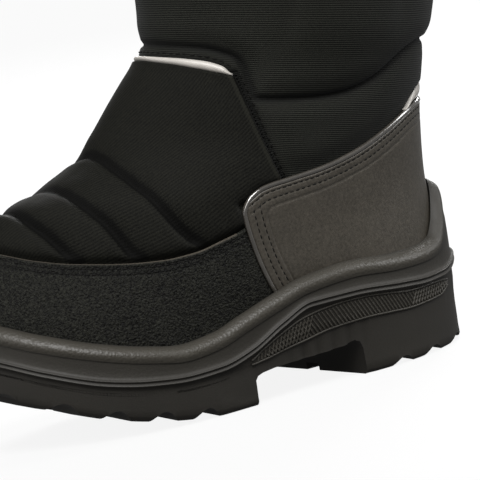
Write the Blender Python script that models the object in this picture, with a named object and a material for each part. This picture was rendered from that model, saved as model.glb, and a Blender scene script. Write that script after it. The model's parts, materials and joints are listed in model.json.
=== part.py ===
# Padded winter boot, left foot: outsole, insole, upper, mudguard, heel counter, binding, tapes.
# Own frame: toe to -X, heel to +X, outer side to -Y, metres, the sole's lugs on z = 0.

import math

import bmesh
import bpy
import numpy as np
from mathutils import Vector

# Last and upper
last_length = 0.207
ball_width = 0.086
upper_height = 0.210
toe_swing = 0.006
waist_swing = 0.001
wall = 0.005
puff = 0.0022
puff_width = 0.0055
quilt_share = 0.85
swing_gone_row = 10.4
swing_fade_rows = 8
guard_margin = 0.0030
counter_margin = 0.0045
trough_width = 0.0050

# Footbed heights over the floor
heel_bed = 0.028
ball_bed = 0.0155
toe_bed = 0.037

# Overlays, tapes, cord and footbed
fit_gap = 0.0003
guard_thickness = 0.0017
counter_thickness = 0.0020
tape_thickness = 0.0008
binding_radius = 0.0013
tape_margin = 0.5
tape_turn_margin = 0.012
front_tape_turn = 0.35
back_tape_turn = 0.09
least_tape_rows = 0.05
rim_clear = 0.004
cup_ease = 0.0002
insole_thickness = 0.004
tuck_row = 0.15
joint_row = 4.3
binding_foot_row = 2.0

# Sole side
side_height = 0.045
rim_thickness = 0.0030
wall_out = 0.0058
lip_out = 0.0074
lip_height = 0.0022
edge_round = 0.0018
side_hollow = 0.0004
side_swell = 0.0003
bead_out = 0.0012
sole_plan_row = 0.6
cup_rings = (0.8, 0.6, 0.4, 0.2, 0.06)

# Arch gap and lugs, along the sole from its heel end
breast_at = 0.059
breast_slant = 0.022
fore_block_at = 0.1175
arch_roof = 0.0127
arch_corner = 0.0030
fore_grooves = 5
heel_grooves = 3
lug_depth = 0.0050
heel_lug_depth = 0.0028
fore_lug_at = 0.1415
fore_lug_pitch = 0.0184
heel_lug_pitch = 0.0175
lug_groove = 0.0080
heel_end_lug = 0.0120
channel_width = 0.0090
channel_depth = 0.0030
channel_toe_end = 0.90

# Mesh steps
columns = 72
outer_rows = 25
inner_rows = 7
overlay_rows = 8
edge_columns = 5

# Rows of the upper from the feather line to the collar. front and back: shares of the last
# length from the heel. front up and back up: shares of the upper height over the footbed.
# Widths: half widths as shares of the ball width, at the width places. bed: how far the row
# follows the dip of the footbed.
width_places = (0.0, 0.13, 0.40, 0.66, 0.86, 1.0)
upper_rows = (
    # front, up, back, up, widths from the back of the row to its front, bed
    (0.985, 0.000, 0.012, 0.000, 0.50, 0.48, 0.365, 0.450, 0.50, 0.50, 1.00),
    (1.000, 0.060, 0.000, 0.045, 0.52, 0.50, 0.400, 0.475, 0.53, 0.53, 0.90),
    (0.995, 0.125, -0.006, 0.095, 0.50, 0.49, 0.430, 0.485, 0.52, 0.52, 0.65),
    (0.962, 0.205, -0.008, 0.150, 0.48, 0.47, 0.440, 0.480, 0.47, 0.46, 0.40),
    (0.900, 0.274, -0.008, 0.205, 0.46, 0.455, 0.450, 0.460, 0.42, 0.38, 0.15),
    (0.800, 0.3105, -0.013, 0.265, 0.45, 0.45, 0.450, 0.440, 0.38, 0.33, 0.00),
    (0.700, 0.360, -0.020, 0.325, 0.45, 0.45, 0.455, 0.435, 0.37, 0.32, 0.00),
    (0.618, 0.440, -0.030, 0.385, 0.47, 0.47, 0.475, 0.450, 0.38, 0.33, 0.00),
    (0.550, 0.518, -0.042, 0.440, 0.50, 0.50, 0.505, 0.480, 0.43, 0.38, 0.00),
    (0.513, 0.600, -0.072, 0.510, 0.54, 0.54, 0.545, 0.530, 0.50, 0.47, 0.00),
    (0.500, 0.740, -0.105, 0.640, 0.57, 0.57, 0.570, 0.565, 0.56, 0.55, 0.00),
    (0.480, 1.000, -0.122, 0.905, 0.59, 0.59, 0.590, 0.590, 0.59, 0.58, 0.00),
)
last_row = len(upper_rows) - 1

# Dip of the footbed below a straight line from heel to toe: place on the last, share of the dip
bed_rows = (
    (0.00, 0.00),
    (0.15, 0.02),
    (0.35, 0.35),
    (0.50, 0.78),
    (0.60, 1.00),
    (0.70, 1.02),
    (0.82, 0.80),
    (0.92, 0.40),
    (1.00, 0.00),
)

# Swing of the last's middle line to the inner side: place, share of waist swing, of toe swing
swing_rows = (
    (0.00, 0.0, 0.00),
    (0.25, -0.2, 0.00),
    (0.45, -1.0, 0.00),
    (0.68, 0.0, 0.02),
    (0.85, 0.0, 0.42),
    (1.00, 0.0, 1.00),
)

# Side of the sole: place along it from the heel, then heights of its floor line, ledge and
# rim as shares of the side height
side_rows = (
    (0.000, 0.00, 0.81, 1.52),
    (0.020, 0.00, 0.79, 1.50),
    (0.036, 0.00, 0.76, 1.38),
    (0.060, 0.00, 0.71, 1.16),
    (0.085, 0.00, 0.69, 1.03),
    (0.125, 0.00, 0.69, 1.00),
    (0.190, 0.00, 0.72, 1.01),
    (0.300, 0.00, 0.775, 1.06),
    (0.390, 0.00, 0.78, 1.03),
    (0.455, 0.00, 0.67, 0.95),
    (0.530, 0.00, 0.50, 0.84),
    (0.590, 0.00, 0.43, 0.75),
    (0.650, 0.03, 0.42, 0.72),
    (0.720, 0.09, 0.455, 0.78),
    (0.800, 0.19, 0.54, 0.89),
    (0.890, 0.36, 0.72, 1.06),
    (0.960, 0.50, 0.90, 1.22),
    (1.000, 0.56, 0.98, 1.28),
)

# Profile of the sole's side from the floor to the rim. line: 0 floor, 1 ledge, 2 rim, shares
# between them. over: height over that line. out: reach out of the overlays
side_profile = (
    (0.0, 0.0, wall_out - 2 * edge_round),
    (0.0, edge_round, wall_out - edge_round),
    (1.0, -3 * lip_height, wall_out - side_hollow),
    (1.0, -lip_height, wall_out),
    (1.0, -0.6 * lip_height, lip_out),
    (1.0, 0.0, lip_out),
    (1.0, 0.4 * lip_height, wall_out + side_swell),
    (1.5, 0.0, wall_out - side_hollow),
    (2.0, -1.5 * rim_thickness, wall_out - side_hollow / 2),
    (2.0, -0.5 * rim_thickness, rim_thickness + bead_out),
    (2.0, -0.1 * rim_thickness, 0.7 * rim_thickness),
)

# Section of a groove between lugs: half grooves along the sole, depths over its floor line
groove_section = ((1.2, -0.4), (0.28, 1.0), (-0.28, 1.0), (-1.2, -0.4))

# Lines on the upper. turn: share of a turn round from the back over the outer side, mirrored
# to the inner side. row: place between the feather line and the collar.
counter_top = ((0.0, 6.45), (0.046, 6.41), (0.080, 6.34), (0.110, 6.12), (0.143, 5.66), (0.179, 5.08),
               (0.208, 4.71), (0.230, 4.52), (0.250, 4.33), (0.262, 3.95))
counter_front = ((0.0, 0.2085), (4.2, 0.2630))
guard_top = ((0.250, 3.46), (0.262, 3.33), (0.275, 3.22), (0.289, 3.11), (0.315, 3.03), (0.374, 3.05),
             (0.411, 3.10), (0.450, 3.20), (0.500, 3.26))
tape_low = ((0.339, 7.68), (0.354, 7.75), (0.383, 7.87), (0.431, 8.00), (0.500, 8.07))
tape_high = ((0.339, 7.72), (0.357, 7.92), (0.381, 8.05), (0.428, 8.14), (0.500, 8.18))
back_tape_high = ((0.0, 6.98), (0.050, 6.84), (0.080, 6.62), (0.100, 6.36))
vamp_seam = ((0.339, 7.70), (0.326, 7.37), (0.299, 6.62), (0.271, 5.77), (0.240, 4.69), (0.232, 4.38))
quilt_ring = ((0.0, 8.60), (0.094, 8.45), (0.129, 8.17), (0.144, 7.97), (0.178, 7.37), (0.196, 7.15),
              (0.212, 7.05), (0.242, 6.98), (0.279, 7.02), (0.303, 7.07), (0.318, 7.43), (0.333, 7.87),
              (0.346, 8.12), (0.365, 8.27), (0.390, 8.38), (0.436, 8.45), (0.500, 8.50))
vamp_troughs = (
    ((0.285, 3.18), (0.299, 3.46), (0.322, 4.08), (0.338, 4.45), (0.357, 4.78), (0.377, 5.11),
     (0.404, 5.46), (0.436, 5.76), (0.468, 5.86), (0.500, 5.76)),
    ((0.328, 3.08), (0.351, 3.61), (0.363, 3.88), (0.385, 4.23), (0.420, 4.66), (0.448, 4.85),
     (0.473, 4.91), (0.500, 4.86)),
    ((0.374, 3.08), (0.394, 3.39), (0.408, 3.61), (0.426, 3.81), (0.447, 4.00), (0.500, 4.16)),
)

# Colour, roughness of each piece
finishes = {
    "outsole": ((0.085, 0.078, 0.070), 0.50),
    "insole": ((0.060, 0.060, 0.060), 0.90),
    "upper": ((0.022, 0.022, 0.020), 0.80),
    "mudguard": ((0.024, 0.025, 0.022), 0.75),
    "heel_counter": ((0.075, 0.068, 0.058), 0.42),
    "counter_binding": ((0.060, 0.055, 0.050), 0.25),
    "front_tape": ((0.320, 0.300, 0.280), 0.35),
    "back_tape": ((0.320, 0.300, 0.280), 0.35),
}


def hermite(knots, values, slopes, x):
    # values and slopes: one column a knot, one row a point of x
    spans = np.diff(knots)
    cell = np.clip(np.searchsorted(knots, x, side="right") - 1, 0, len(knots) - 2)
    share = (x - knots[cell]) / spans[cell]
    row = np.arange(len(x))
    start, end = values[row, cell], values[row, cell + 1]
    start_slope, end_slope = slopes[row, cell] * spans[cell], slopes[row, cell + 1] * spans[cell]
    square, cube = share ** 2, share ** 3
    return ((2 * cube - 3 * square + 1) * start + (cube - 2 * square + share) * start_slope
            + (3 * square - 2 * cube) * end + (cube - square) * end_slope)


def table_curve(points, column=1):
    # smooth curve through a table that never overshoots its points
    table = np.array(points, dtype=float)
    knots, values = table[:, 0], table[:, column]
    spans = np.diff(knots)
    rises = np.diff(values) / spans
    slopes = np.zeros(len(knots))
    for i in range(1, len(knots) - 1):
        if rises[i - 1] * rises[i] > 0:
            before, after = 2 * spans[i] + spans[i - 1], spans[i] + 2 * spans[i - 1]
            slopes[i] = (before + after) / (before / rises[i - 1] + after / rises[i])

    def at(x):
        x = np.asarray(x, dtype=float)
        flat = np.clip(x.reshape(-1), knots[0], knots[-1])
        size = (len(flat), len(knots))
        out = hermite(knots, np.broadcast_to(values, size), np.broadcast_to(slopes, size), flat)
        return out.reshape(x.shape)
    return at


def row_values(row):
    # the table's columns at a place between its rows, smooth through every row
    table = np.array(upper_rows)
    table = np.vstack((2 * table[0] - table[1], table, 2 * table[-1] - table[-2]))
    row = np.clip(row, 0, last_row)
    cell = np.minimum(row.astype(int), last_row - 1)
    share = (row - cell)[..., None]
    a, b, c, d = (table[cell + k] for k in range(4))
    return 0.5 * (2 * b + (c - a) * share + (2 * a - 5 * b + 4 * c - d) * share ** 2
                  + (3 * b - a - 3 * c + d) * share ** 3)


bed_dip = table_curve(bed_rows)
waist_curve = table_curve(swing_rows, 1)
toe_curve = table_curve(swing_rows, 2)
dip_place = 0.62
bed_dip_depth = heel_bed + (toe_bed - heel_bed) * dip_place - ball_bed


def footbed(place, follow=1.0):
    # height of the footbed, place 0 at the heel and 1 at the toe
    return heel_bed + (toe_bed - heel_bed) * place - follow * bed_dip(place) * bed_dip_depth


def fold_turn(turn):
    # the inner side's lines mirror the outer side's
    turn = np.mod(turn, 1.0)
    return np.minimum(turn, 1.0 - turn)


def upper_base(turn, row):
    # plain surface of the upper, before the padding
    turn, row = np.broadcast_arrays(np.asarray(turn, dtype=float), np.asarray(row, dtype=float))
    values = row_values(row)
    angle = 2 * math.pi * turn
    ahead = (1 - np.cos(angle)) / 2
    place = values[..., 2] + (values[..., 0] - values[..., 2]) * ahead
    knots = np.array(width_places)
    widths = values[..., 4:10].reshape(-1, len(knots))
    spans = np.diff(knots)
    rises = np.diff(widths, axis=1) / spans
    slopes = np.empty(widths.shape)
    slopes[:, 0], slopes[:, -1] = rises[:, 0], rises[:, -1]
    slopes[:, 1:-1] = (rises[:, 1:] * spans[:-1] + rises[:, :-1] * spans[1:]) / (spans[1:] + spans[:-1])
    half = hermite(knots, widths, slopes, ahead.reshape(-1)).reshape(ahead.shape) * ball_width
    foot_place = np.clip(place, 0, 1)
    swing = waist_curve(foot_place) * waist_swing + toe_curve(foot_place) * toe_swing
    swing_fade = np.clip((swing_gone_row - row) / swing_fade_rows, 0, 1)
    up = values[..., 3] + (values[..., 1] - values[..., 3]) * ahead
    return np.stack((
        -place * last_length,
        swing * swing_fade - np.sin(angle) * half,
        footbed(foot_place, values[..., 10]) + up * upper_height,
    ), axis=-1)


def upper_normal(turn, row):
    turn, row = np.broadcast_arrays(np.asarray(turn, dtype=float), np.asarray(row, dtype=float))
    around = upper_base(turn + 0.001, row) - upper_base(turn - 0.001, row)
    above, below = np.clip(row + 0.02, 0, last_row), np.clip(row - 0.02, 0, last_row)
    upward = upper_base(turn, above) - upper_base(turn, below)
    out = np.cross(upward, around)
    return out / np.linalg.norm(out, axis=-1, keepdims=True)


def upper_offset(turn, row, out):
    return upper_base(turn, row) + upper_normal(turn, row) * np.asarray(out)[..., None]


def line_on_upper(points, steps=10):
    # dense points of a line, on the outer and the inner side
    table = np.array(points, dtype=float)
    places = np.linspace(0, len(table) - 1, (len(table) - 1) * steps + 1)
    turns = np.interp(places, range(len(table)), table[:, 0])
    rows = np.interp(places, range(len(table)), table[:, 1])
    return np.vstack((upper_base(turns, rows), upper_base(1 - turns, rows)))


def distance_to(points, line):
    gaps = points[..., None, :] - line
    return np.sqrt((gaps ** 2).sum(axis=-1)).min(axis=-1)


counter_top_row = table_curve(counter_top)
guard_top_row = table_curve(guard_top)


def covered_row(turn):
    # upper end of what the mudguard and the counter cover
    side = fold_turn(turn)
    joint = counter_front[-1][1]
    behind, ahead = np.minimum(side, joint), np.maximum(side, joint)
    return np.where(side < joint, counter_top_row(behind), guard_top_row(ahead))


def padding(turn, row):
    # thickness that the padding adds: none at seams, edges and under overlays
    turn, row = np.broadcast_arrays(np.asarray(turn, dtype=float), np.asarray(row, dtype=float))
    points = upper_base(turn, row)
    share = np.ones(turn.shape)
    joint = counter_front[-1][1]
    behind, ahead = np.linspace(0, joint, 40), np.linspace(joint, 0.5, 40)
    counter_corner = [(counter_edge(row), row) for row in (guard_top[0][1], counter_top[-1][1])]
    edges = (
        (line_on_upper(np.column_stack((behind, counter_top_row(behind)))), counter_margin),
        (line_on_upper(np.column_stack((ahead, guard_top_row(ahead)))), guard_margin),
        (line_on_upper(counter_corner), counter_margin),
        (line_on_upper(tape_low), 0),
        (line_on_upper(tape_high), 0),
        (line_on_upper([(turn, last_row) for turn in behind] + [(turn, last_row) for turn in ahead]), 0),
        (line_on_upper(vamp_seam), 0),
    )
    for line, margin in edges:
        reach = np.maximum(distance_to(points, line) - margin, 0)
        share = share * (1 - np.exp(-(reach / puff_width) ** 2))
    for line in [line_on_upper(quilt_ring)] + [line_on_upper(trough) for trough in vamp_troughs]:
        share = share * (1 - quilt_share * np.exp(-(distance_to(points, line) / trough_width) ** 2))
    clear = row > covered_row(turn)
    side = fold_turn(turn)
    over_tape = row > table_curve(tape_low)(side) - tape_margin
    under_tape = row < table_curve(tape_high)(side) + tape_margin
    on_tape = (side > front_tape_turn - tape_turn_margin) & over_tape & under_tape
    under_back_tape = row < table_curve(back_tape_high)(side) + tape_margin
    on_back_tape = (side < back_tape_turn + tape_turn_margin) & under_back_tape
    return puff * share * clear * np.where(on_tape | on_back_tape, 0, 1)


def grid_faces(rows, around, closed):
    faces = []
    for k in range(rows - 1):
        for i in range(around if closed else around - 1):
            j = (i + 1) % around
            faces.append((k * around + i, k * around + j, (k + 1) * around + j, (k + 1) * around + i))
    return faces


def make_piece(name, points, faces):
    mesh = bpy.data.meshes.new(name)
    mesh.from_pydata([tuple(float(c) for c in point) for point in points], [], faces)
    work = bmesh.new()
    work.from_mesh(mesh)
    bmesh.ops.remove_doubles(work, verts=work.verts, dist=0.00001)
    bmesh.ops.recalc_face_normals(work, faces=work.faces)
    work.to_mesh(mesh)
    work.free()
    mesh.shade_smooth()
    mesh.set_sharp_from_angle(angle=math.radians(38))
    piece = bpy.data.objects.new(name, mesh)
    boot.objects.link(piece)
    colour, roughness = finishes[name]
    material = bpy.data.materials.new(name)
    material.use_nodes = True
    shader = material.node_tree.nodes["Principled BSDF"]
    shader.inputs["Base Color"].default_value = (*colour, 1.0)
    shader.inputs["Roughness"].default_value = roughness
    shader.inputs["Metallic"].default_value = 0.0
    mesh.materials.append(material)
    return piece


def close_ring(points, faces, ring, height_at, steps=4):
    # fills a ring side to side with lines across the foot; ring runs from the back round to it
    half = len(ring) // 2
    lines = []
    for i in range(1, half):
        first, last = ring[i], ring[len(ring) - i]
        line = [first]
        for k in range(1, steps):
            point = points[first] + (points[last] - points[first]) * k / steps
            point = np.array((point[0], point[1], height_at(point[0])))
            points.append(point)
            line.append(len(points) - 1)
        lines.append(line + [last])
    for before, after in zip(lines, lines[1:]):
        for k in range(steps):
            faces.append((before[k], before[k + 1], after[k + 1], after[k]))
    for tip, line in ((ring[0], lines[0]), (ring[half], lines[-1])):
        for k in range(steps):
            faces.append((tip, line[k], line[k + 1]))


def make_upper():
    turns = np.arange(columns) / columns
    rows = np.linspace(0, last_row, outer_rows)
    turn, row = np.meshgrid(turns, rows)
    outer = upper_offset(turn, row, padding(turn, row))
    lining_rows = np.linspace(last_row, 0, inner_rows)
    turn, row = np.meshgrid(turns, lining_rows)
    lining = upper_offset(turn, row, np.full(turn.shape, -wall))
    lining[-1, :, 2] = outer[0, :, 2]
    hem = (outer[-1] + lining[0]) / 2
    hem[:, 2] += wall / 3
    rings = np.concatenate((outer, hem[None], lining))
    count = len(rings)
    faces = grid_faces(count, columns, True)
    faces += [((count - 1) * columns + i, (count - 1) * columns + (i + 1) % columns, (i + 1) % columns, i)
              for i in range(columns)]
    return make_piece("upper", rings.reshape(-1, 3), faces)


def metric_turn(turn, row, distance):
    # share of a turn that covers a distance along the surface
    step = 0.002
    reach = np.linalg.norm(upper_base(turn + step, row) - upper_base(turn - step, row), axis=-1) / (2 * step)
    return distance / reach


def metric_row(turn, row, distance):
    step = 0.02
    reach = np.linalg.norm(upper_base(turn, row + step) - upper_base(turn, row - step), axis=-1) / (2 * step)
    return distance / reach


def counter_edge(row):
    return np.interp(row, [place for place, turn in counter_front], [turn for place, turn in counter_front])


def shell_grid(edge_turn, top_row, back):
    # turns and rows of an overlay, from the tuck row to its top, between its two joint edges
    turns = np.arange(columns) / columns
    low_edge, high_edge = float(edge_turn(np.array(0.0))), float(edge_turn(np.array(joint_row)))
    if back:
        half = turns[turns < low_edge - 0.5 / columns]
    else:
        half = turns[(turns > high_edge + 0.5 / columns) & (turns <= 0.5)][::-1]
    places = np.linspace(0, 1, overlay_rows)
    half_turn = np.empty((overlay_rows, len(half) + edge_columns))
    half_row = np.empty(half_turn.shape)
    for k, place in enumerate(places):
        edge = edge_turn(np.array(tuck_row))
        for _ in range(8):
            edge = edge_turn(tuck_row + (top_row(edge) - tuck_row) * place)
        spread = half[-1] + (edge - half[-1]) * np.arange(1, edge_columns + 1) / edge_columns
        half_turn[k] = np.concatenate((half, spread))
        half_row[k] = tuck_row + (top_row(half_turn[k]) - tuck_row) * place
    mirrored = -half_turn if back else 1 - half_turn
    turn_grid = np.hstack((half_turn[:, :0:-1], mirrored))
    return turn_grid, np.hstack((half_row[:, :0:-1], half_row))


def make_shell(name, turn_grid, row_grid, thickness):
    under = upper_offset(turn_grid, row_grid, np.full(turn_grid.shape, fit_gap))
    over = upper_offset(turn_grid, row_grid, np.full(turn_grid.shape, fit_gap + thickness))
    return make_piece(name, *slab(under, over))


def slab(under, over):
    # closes two open grids into one solid
    rows, across = under.shape[:2]
    count = rows * across
    lower = grid_faces(rows, across, False)
    faces = [tuple(reversed(face)) for face in lower]
    faces += [tuple(i + count for i in face) for face in lower]
    border = [i for i in range(across)]
    border += [k * across + across - 1 for k in range(1, rows)]
    border += [(rows - 1) * across + i for i in range(across - 2, -1, -1)]
    border += [k * across for k in range(rows - 2, 0, -1)]
    for first, second in zip(border, border[1:] + border[:1]):
        faces.append((first, second, second + count, first + count))
    return np.concatenate((under.reshape(-1, 3), over.reshape(-1, 3))), faces


def guard_edge(row):
    # the mudguard stops where the binding's cord runs
    edge = counter_edge(row)
    return edge + metric_turn(edge, row, 2 * binding_radius + 2 * fit_gap)


def make_tape(name, turns, low, high):
    turn = np.vstack((turns, turns))
    row = np.vstack((low, high))
    under = upper_offset(turn, row, np.full(turn.shape, fit_gap))
    over = upper_offset(turn, row, np.full(turn.shape, fit_gap + tape_thickness))
    return make_piece(name, *slab(under, over))


def make_binding(turn_grid, row_grid):
    # a cord round the counter's free edge, from the sole's rim up, over the back and down
    first = np.column_stack((turn_grid[:, 0], row_grid[:, 0]))
    last = np.column_stack((turn_grid[:, -1], row_grid[:, -1]))
    over = np.column_stack((turn_grid[-1], row_grid[-1]))
    foot = counter_edge(binding_foot_row)
    rim = rim_row(np.array([foot]))[0]
    start_row = rim + metric_row(foot, rim, rim_clear)
    start = np.array(((counter_edge(start_row), start_row),))
    finish = start * (-1, 1)
    rising, falling = first[first[:, 1] > start_row][:-1], last[last[:, 1] > start_row][-2::-1]
    route = np.vstack((start, rising, over, falling, finish))
    edge = upper_base(route[:, 0], route[:, 1])
    out = upper_normal(route[:, 0], route[:, 1])
    away = np.cross(out, np.gradient(edge, axis=0))
    away = away / np.linalg.norm(away, axis=1, keepdims=True)
    clear = binding_radius + fit_gap
    points = edge + (out + away) * clear
    curve = bpy.data.curves.new("binding_route", "CURVE")
    curve.dimensions = "3D"
    curve.bevel_depth = binding_radius
    curve.bevel_resolution = 1
    curve.use_fill_caps = True
    spline = curve.splines.new("POLY")
    spline.points.add(len(points) - 1)
    for spot, point in zip(spline.points, points):
        spot.co = (*point, 1.0)
    guide = bpy.data.objects.new("binding_route", curve)
    boot.objects.link(guide)
    bpy.context.view_layer.update()
    mesh = bpy.data.meshes.new_from_object(guide.evaluated_get(bpy.context.evaluated_depsgraph_get()))
    bpy.data.objects.remove(guide)
    spots = [vertex.co.copy() for vertex in mesh.vertices]
    faces = [tuple(face.vertices) for face in mesh.polygons]
    return make_piece("counter_binding", spots, faces)


stack = 2 * fit_gap + max(guard_thickness, counter_thickness)
sole_heel = stack + wall_out
sole_length = last_length + 2 * sole_heel
floor_curve = table_curve(side_rows, 1)
ledge_curve = table_curve(side_rows, 2)
rim_curve = table_curve(side_rows, 3)


def sole_place(x):
    # place along the sole, 0 at its heel end, of a length coordinate
    return np.clip((sole_heel - np.asarray(x)) / sole_length, 0, 1)


def rim_row(turns):
    # row of the upper at the height of the sole's rim
    low, high = np.zeros(len(turns)), np.full(len(turns), 5.0)
    for _ in range(30):
        middle = (low + high) / 2
        point = upper_base(turns, middle)
        over = point[:, 2] > rim_curve(sole_place(point[:, 0])) * side_height
        high = np.where(over, middle, high)
        low = np.where(over, low, middle)
    return (low + high) / 2


def plan_normals(points):
    along = np.roll(points, -1, axis=0) - np.roll(points, 1, axis=0)
    out = np.column_stack((-along[:, 1], along[:, 0]))
    out = out / np.linalg.norm(out, axis=1, keepdims=True)
    facing = ((points - points.mean(axis=0)) * out).sum(axis=1)
    return out * np.where(facing.mean() < 0, -1, 1)


def make_sole_body():
    turns = np.arange(columns) / columns
    low = upper_base(turns, sole_plan_row)[:, :2]
    rim_rows = rim_row(turns)
    high = upper_base(turns, rim_rows)
    out = plan_normals(low)
    place = sole_place(low[:, 0] + out[:, 0] * wall_out)
    lines = np.array([curve(place) * side_height for curve in (floor_curve, ledge_curve, rim_curve)])
    rings = []
    for line, over, reach in side_profile:
        below = min(int(line), 1)
        height = lines[below] + (lines[below + 1] - lines[below]) * (line - below) + over
        share = np.clip((height - ball_bed) / np.maximum(high[:, 2] - ball_bed, 0.001), 0, 1)[:, None]
        plan = low * (1 - share) + high[:, :2] * share + out * (stack + reach)
        rings.append(np.column_stack((plan, height)))
    rings.append(upper_offset(turns, rim_rows, np.full(columns, stack)))
    for share in cup_rings:
        rings.append(upper_offset(turns, rim_rows * share, np.full(columns, stack + cup_ease)))
    floor_ring = rings[-1].copy()
    floor_ring[:, 2] = footbed(np.clip(-floor_ring[:, 0] / last_length, 0, 1)) - fit_gap
    rings.append(floor_ring)
    count = len(rings)
    points = [point for ring in rings for point in ring]
    faces = grid_faces(count, columns, True)
    inner = [(count - 1) * columns + i for i in range(columns)]
    close_ring(points, faces, inner, lambda x: footbed(np.clip(-x / last_length, 0, 1)) - fit_gap)
    close_ring(points, faces, list(range(columns)), lambda x: floor_curve(sole_place(x)) * side_height)
    return make_piece("outsole", points, faces)


def make_cutter(name, outline, width, slants=None):
    # a prism across the sole from an outline of length and height; slants move its inner end forward
    slants = slants or [0] * len(outline)
    mesh = bpy.data.meshes.new(name)
    count = len(outline)
    points = [(x, -width / 2, z) for x, z in outline]
    points += [(x - slant, width / 2, z) for (x, z), slant in zip(outline, slants)]
    faces = [tuple(range(count)), tuple(reversed(range(count, 2 * count)))]
    faces += [(i, i + count, (i + 1) % count + count, (i + 1) % count) for i in range(count)]
    mesh.from_pydata(points, [], faces)
    work = bmesh.new()
    work.from_mesh(mesh)
    bmesh.ops.recalc_face_normals(work, faces=work.faces)
    work.to_mesh(mesh)
    work.free()
    cutter = bpy.data.objects.new(name, mesh)
    cutter.hide_render = True
    cutter.display_type = "WIRE"
    cutters.objects.link(cutter)
    return cutter


def cut(piece, cutter):
    modifier = piece.modifiers.new(cutter.name, "BOOLEAN")
    modifier.operation = "DIFFERENCE"
    modifier.solver = "EXACT"
    modifier.object = cutter


def cut_lugs(sole):
    across = 2 * ball_width
    below = -0.01
    breast, fore = sole_heel - breast_at, sole_heel - fore_block_at
    low_roof = arch_roof - arch_corner
    arch = ((breast, below), (breast - arch_corner / 3, low_roof), (breast - arch_corner, arch_roof),
            (fore + arch_corner, arch_roof), (fore, low_roof), (fore, below))
    slants = [breast_slant] * 3 + [0] * 3
    cut(sole, make_cutter("arch_cutter", arch, across, slants))
    grooves = [(fore_lug_at + fore_lug_pitch * k, lug_depth) for k in range(fore_grooves)]
    heel_lug_at = breast_at - heel_end_lug
    grooves += [(heel_lug_at - heel_lug_pitch * k, heel_lug_depth) for k in range(heel_grooves)]
    for k, (along, depth) in enumerate(grooves):
        x = sole_heel - along
        floor = float(floor_curve(sole_place(x))) * side_height
        before, after = sole_place(x - lug_groove / 4), sole_place(x + lug_groove / 4)
        rise = float(floor_curve(before) - floor_curve(after))
        slope = rise * side_height / (lug_groove / 2)
        outline = []
        for step, height in groove_section:
            run = step * lug_groove / 2
            outline.append((x + run, floor + height * depth - run * slope))
        cut(sole, make_cutter("groove_cutter_%d" % k, outline, across))
    toe_end, heel_end = sole_heel - channel_toe_end * sole_length, sole_heel - heel_end_lug
    channel = []
    for x in np.linspace(heel_end, toe_end, 12):
        channel.append((x, float(floor_curve(sole_place(x))) * side_height + channel_depth))
    channel += [(toe_end, below), (heel_end, below)]
    cut(sole, make_cutter("channel_cutter", channel, channel_width))


def make_insole():
    turns = np.arange(columns) / columns
    edge = upper_base(turns, 0.0)[:, :2]
    edge = edge - plan_normals(edge) * (wall + 2 * fit_gap)
    place = np.clip(-edge[:, 0] / last_length, 0, 1)
    low = footbed(place)
    rings = [np.column_stack((edge, low)), np.column_stack((edge, low + insole_thickness))]
    points = [point for ring in rings for point in ring]
    faces = grid_faces(2, columns, True)
    close_ring(points, faces, list(range(columns)), lambda x: footbed(np.clip(-x / last_length, 0, 1)))
    top = list(range(columns, 2 * columns))
    close_ring(points, faces, top, lambda x: footbed(np.clip(-x / last_length, 0, 1)) + insole_thickness)
    return make_piece("insole", points, faces)


def settle():
    # the origin goes under the middle of the boot's box
    bpy.context.view_layer.update()
    graph = bpy.context.evaluated_depsgraph_get()
    corners = []
    for piece in boot.objects:
        mesh = piece.evaluated_get(graph).to_mesh()
        spots = np.array([vertex.co for vertex in mesh.vertices])
        corners += [spots.min(axis=0), spots.max(axis=0)]
    low, high = np.min(corners, axis=0), np.max(corners, axis=0)
    move = Vector((-(low[0] + high[0]) / 2, -(low[1] + high[1]) / 2, -low[2]))
    for piece in list(boot.objects) + list(cutters.objects):
        for vertex in piece.data.vertices:
            vertex.co += move
        piece.data.update()
    print("moved by", [round(value, 6) for value in move], "size", [round(float(v), 4) for v in high - low])


for old in list(bpy.data.objects):
    bpy.data.objects.remove(old)
boot = bpy.data.collections.new("snow_boot")
cutters = bpy.data.collections.new("cutters")
bpy.context.scene.collection.children.link(boot)
bpy.context.scene.collection.children.link(cutters)

make_upper()
cut_lugs(make_sole_body())
make_insole()
make_shell("mudguard", *shell_grid(guard_edge, guard_top_row, back=False), guard_thickness)
counter_grid = shell_grid(counter_edge, counter_top_row, back=True)
make_shell("heel_counter", *counter_grid, counter_thickness)
make_binding(*counter_grid)

tape_start = round(front_tape_turn * columns)
front = np.arange(tape_start, columns - tape_start + 1) / columns
side = fold_turn(front)
make_tape("front_tape", front, table_curve(tape_low)(side), table_curve(tape_high)(side))
tape_end = round(back_tape_turn * columns)
back = np.arange(-tape_end, tape_end + 1) / columns
back_low = counter_top_row(np.abs(back))
back_low = back_low + metric_row(back, back_low, 2 * binding_radius + 3 * fit_gap)
back_high = np.maximum(table_curve(back_tape_high)(np.abs(back)), back_low + least_tape_rows)
make_tape("back_tape", back, back_low, back_high)
settle()
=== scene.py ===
# Padded winter boot, left foot: cloth shaft and vamp, mudguard, heel counter, moulded sole.
import json
import math

import bmesh
import bpy
import numpy as np
from mathutils import Matrix, Vector
from mathutils.kdtree import KDTree

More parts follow.
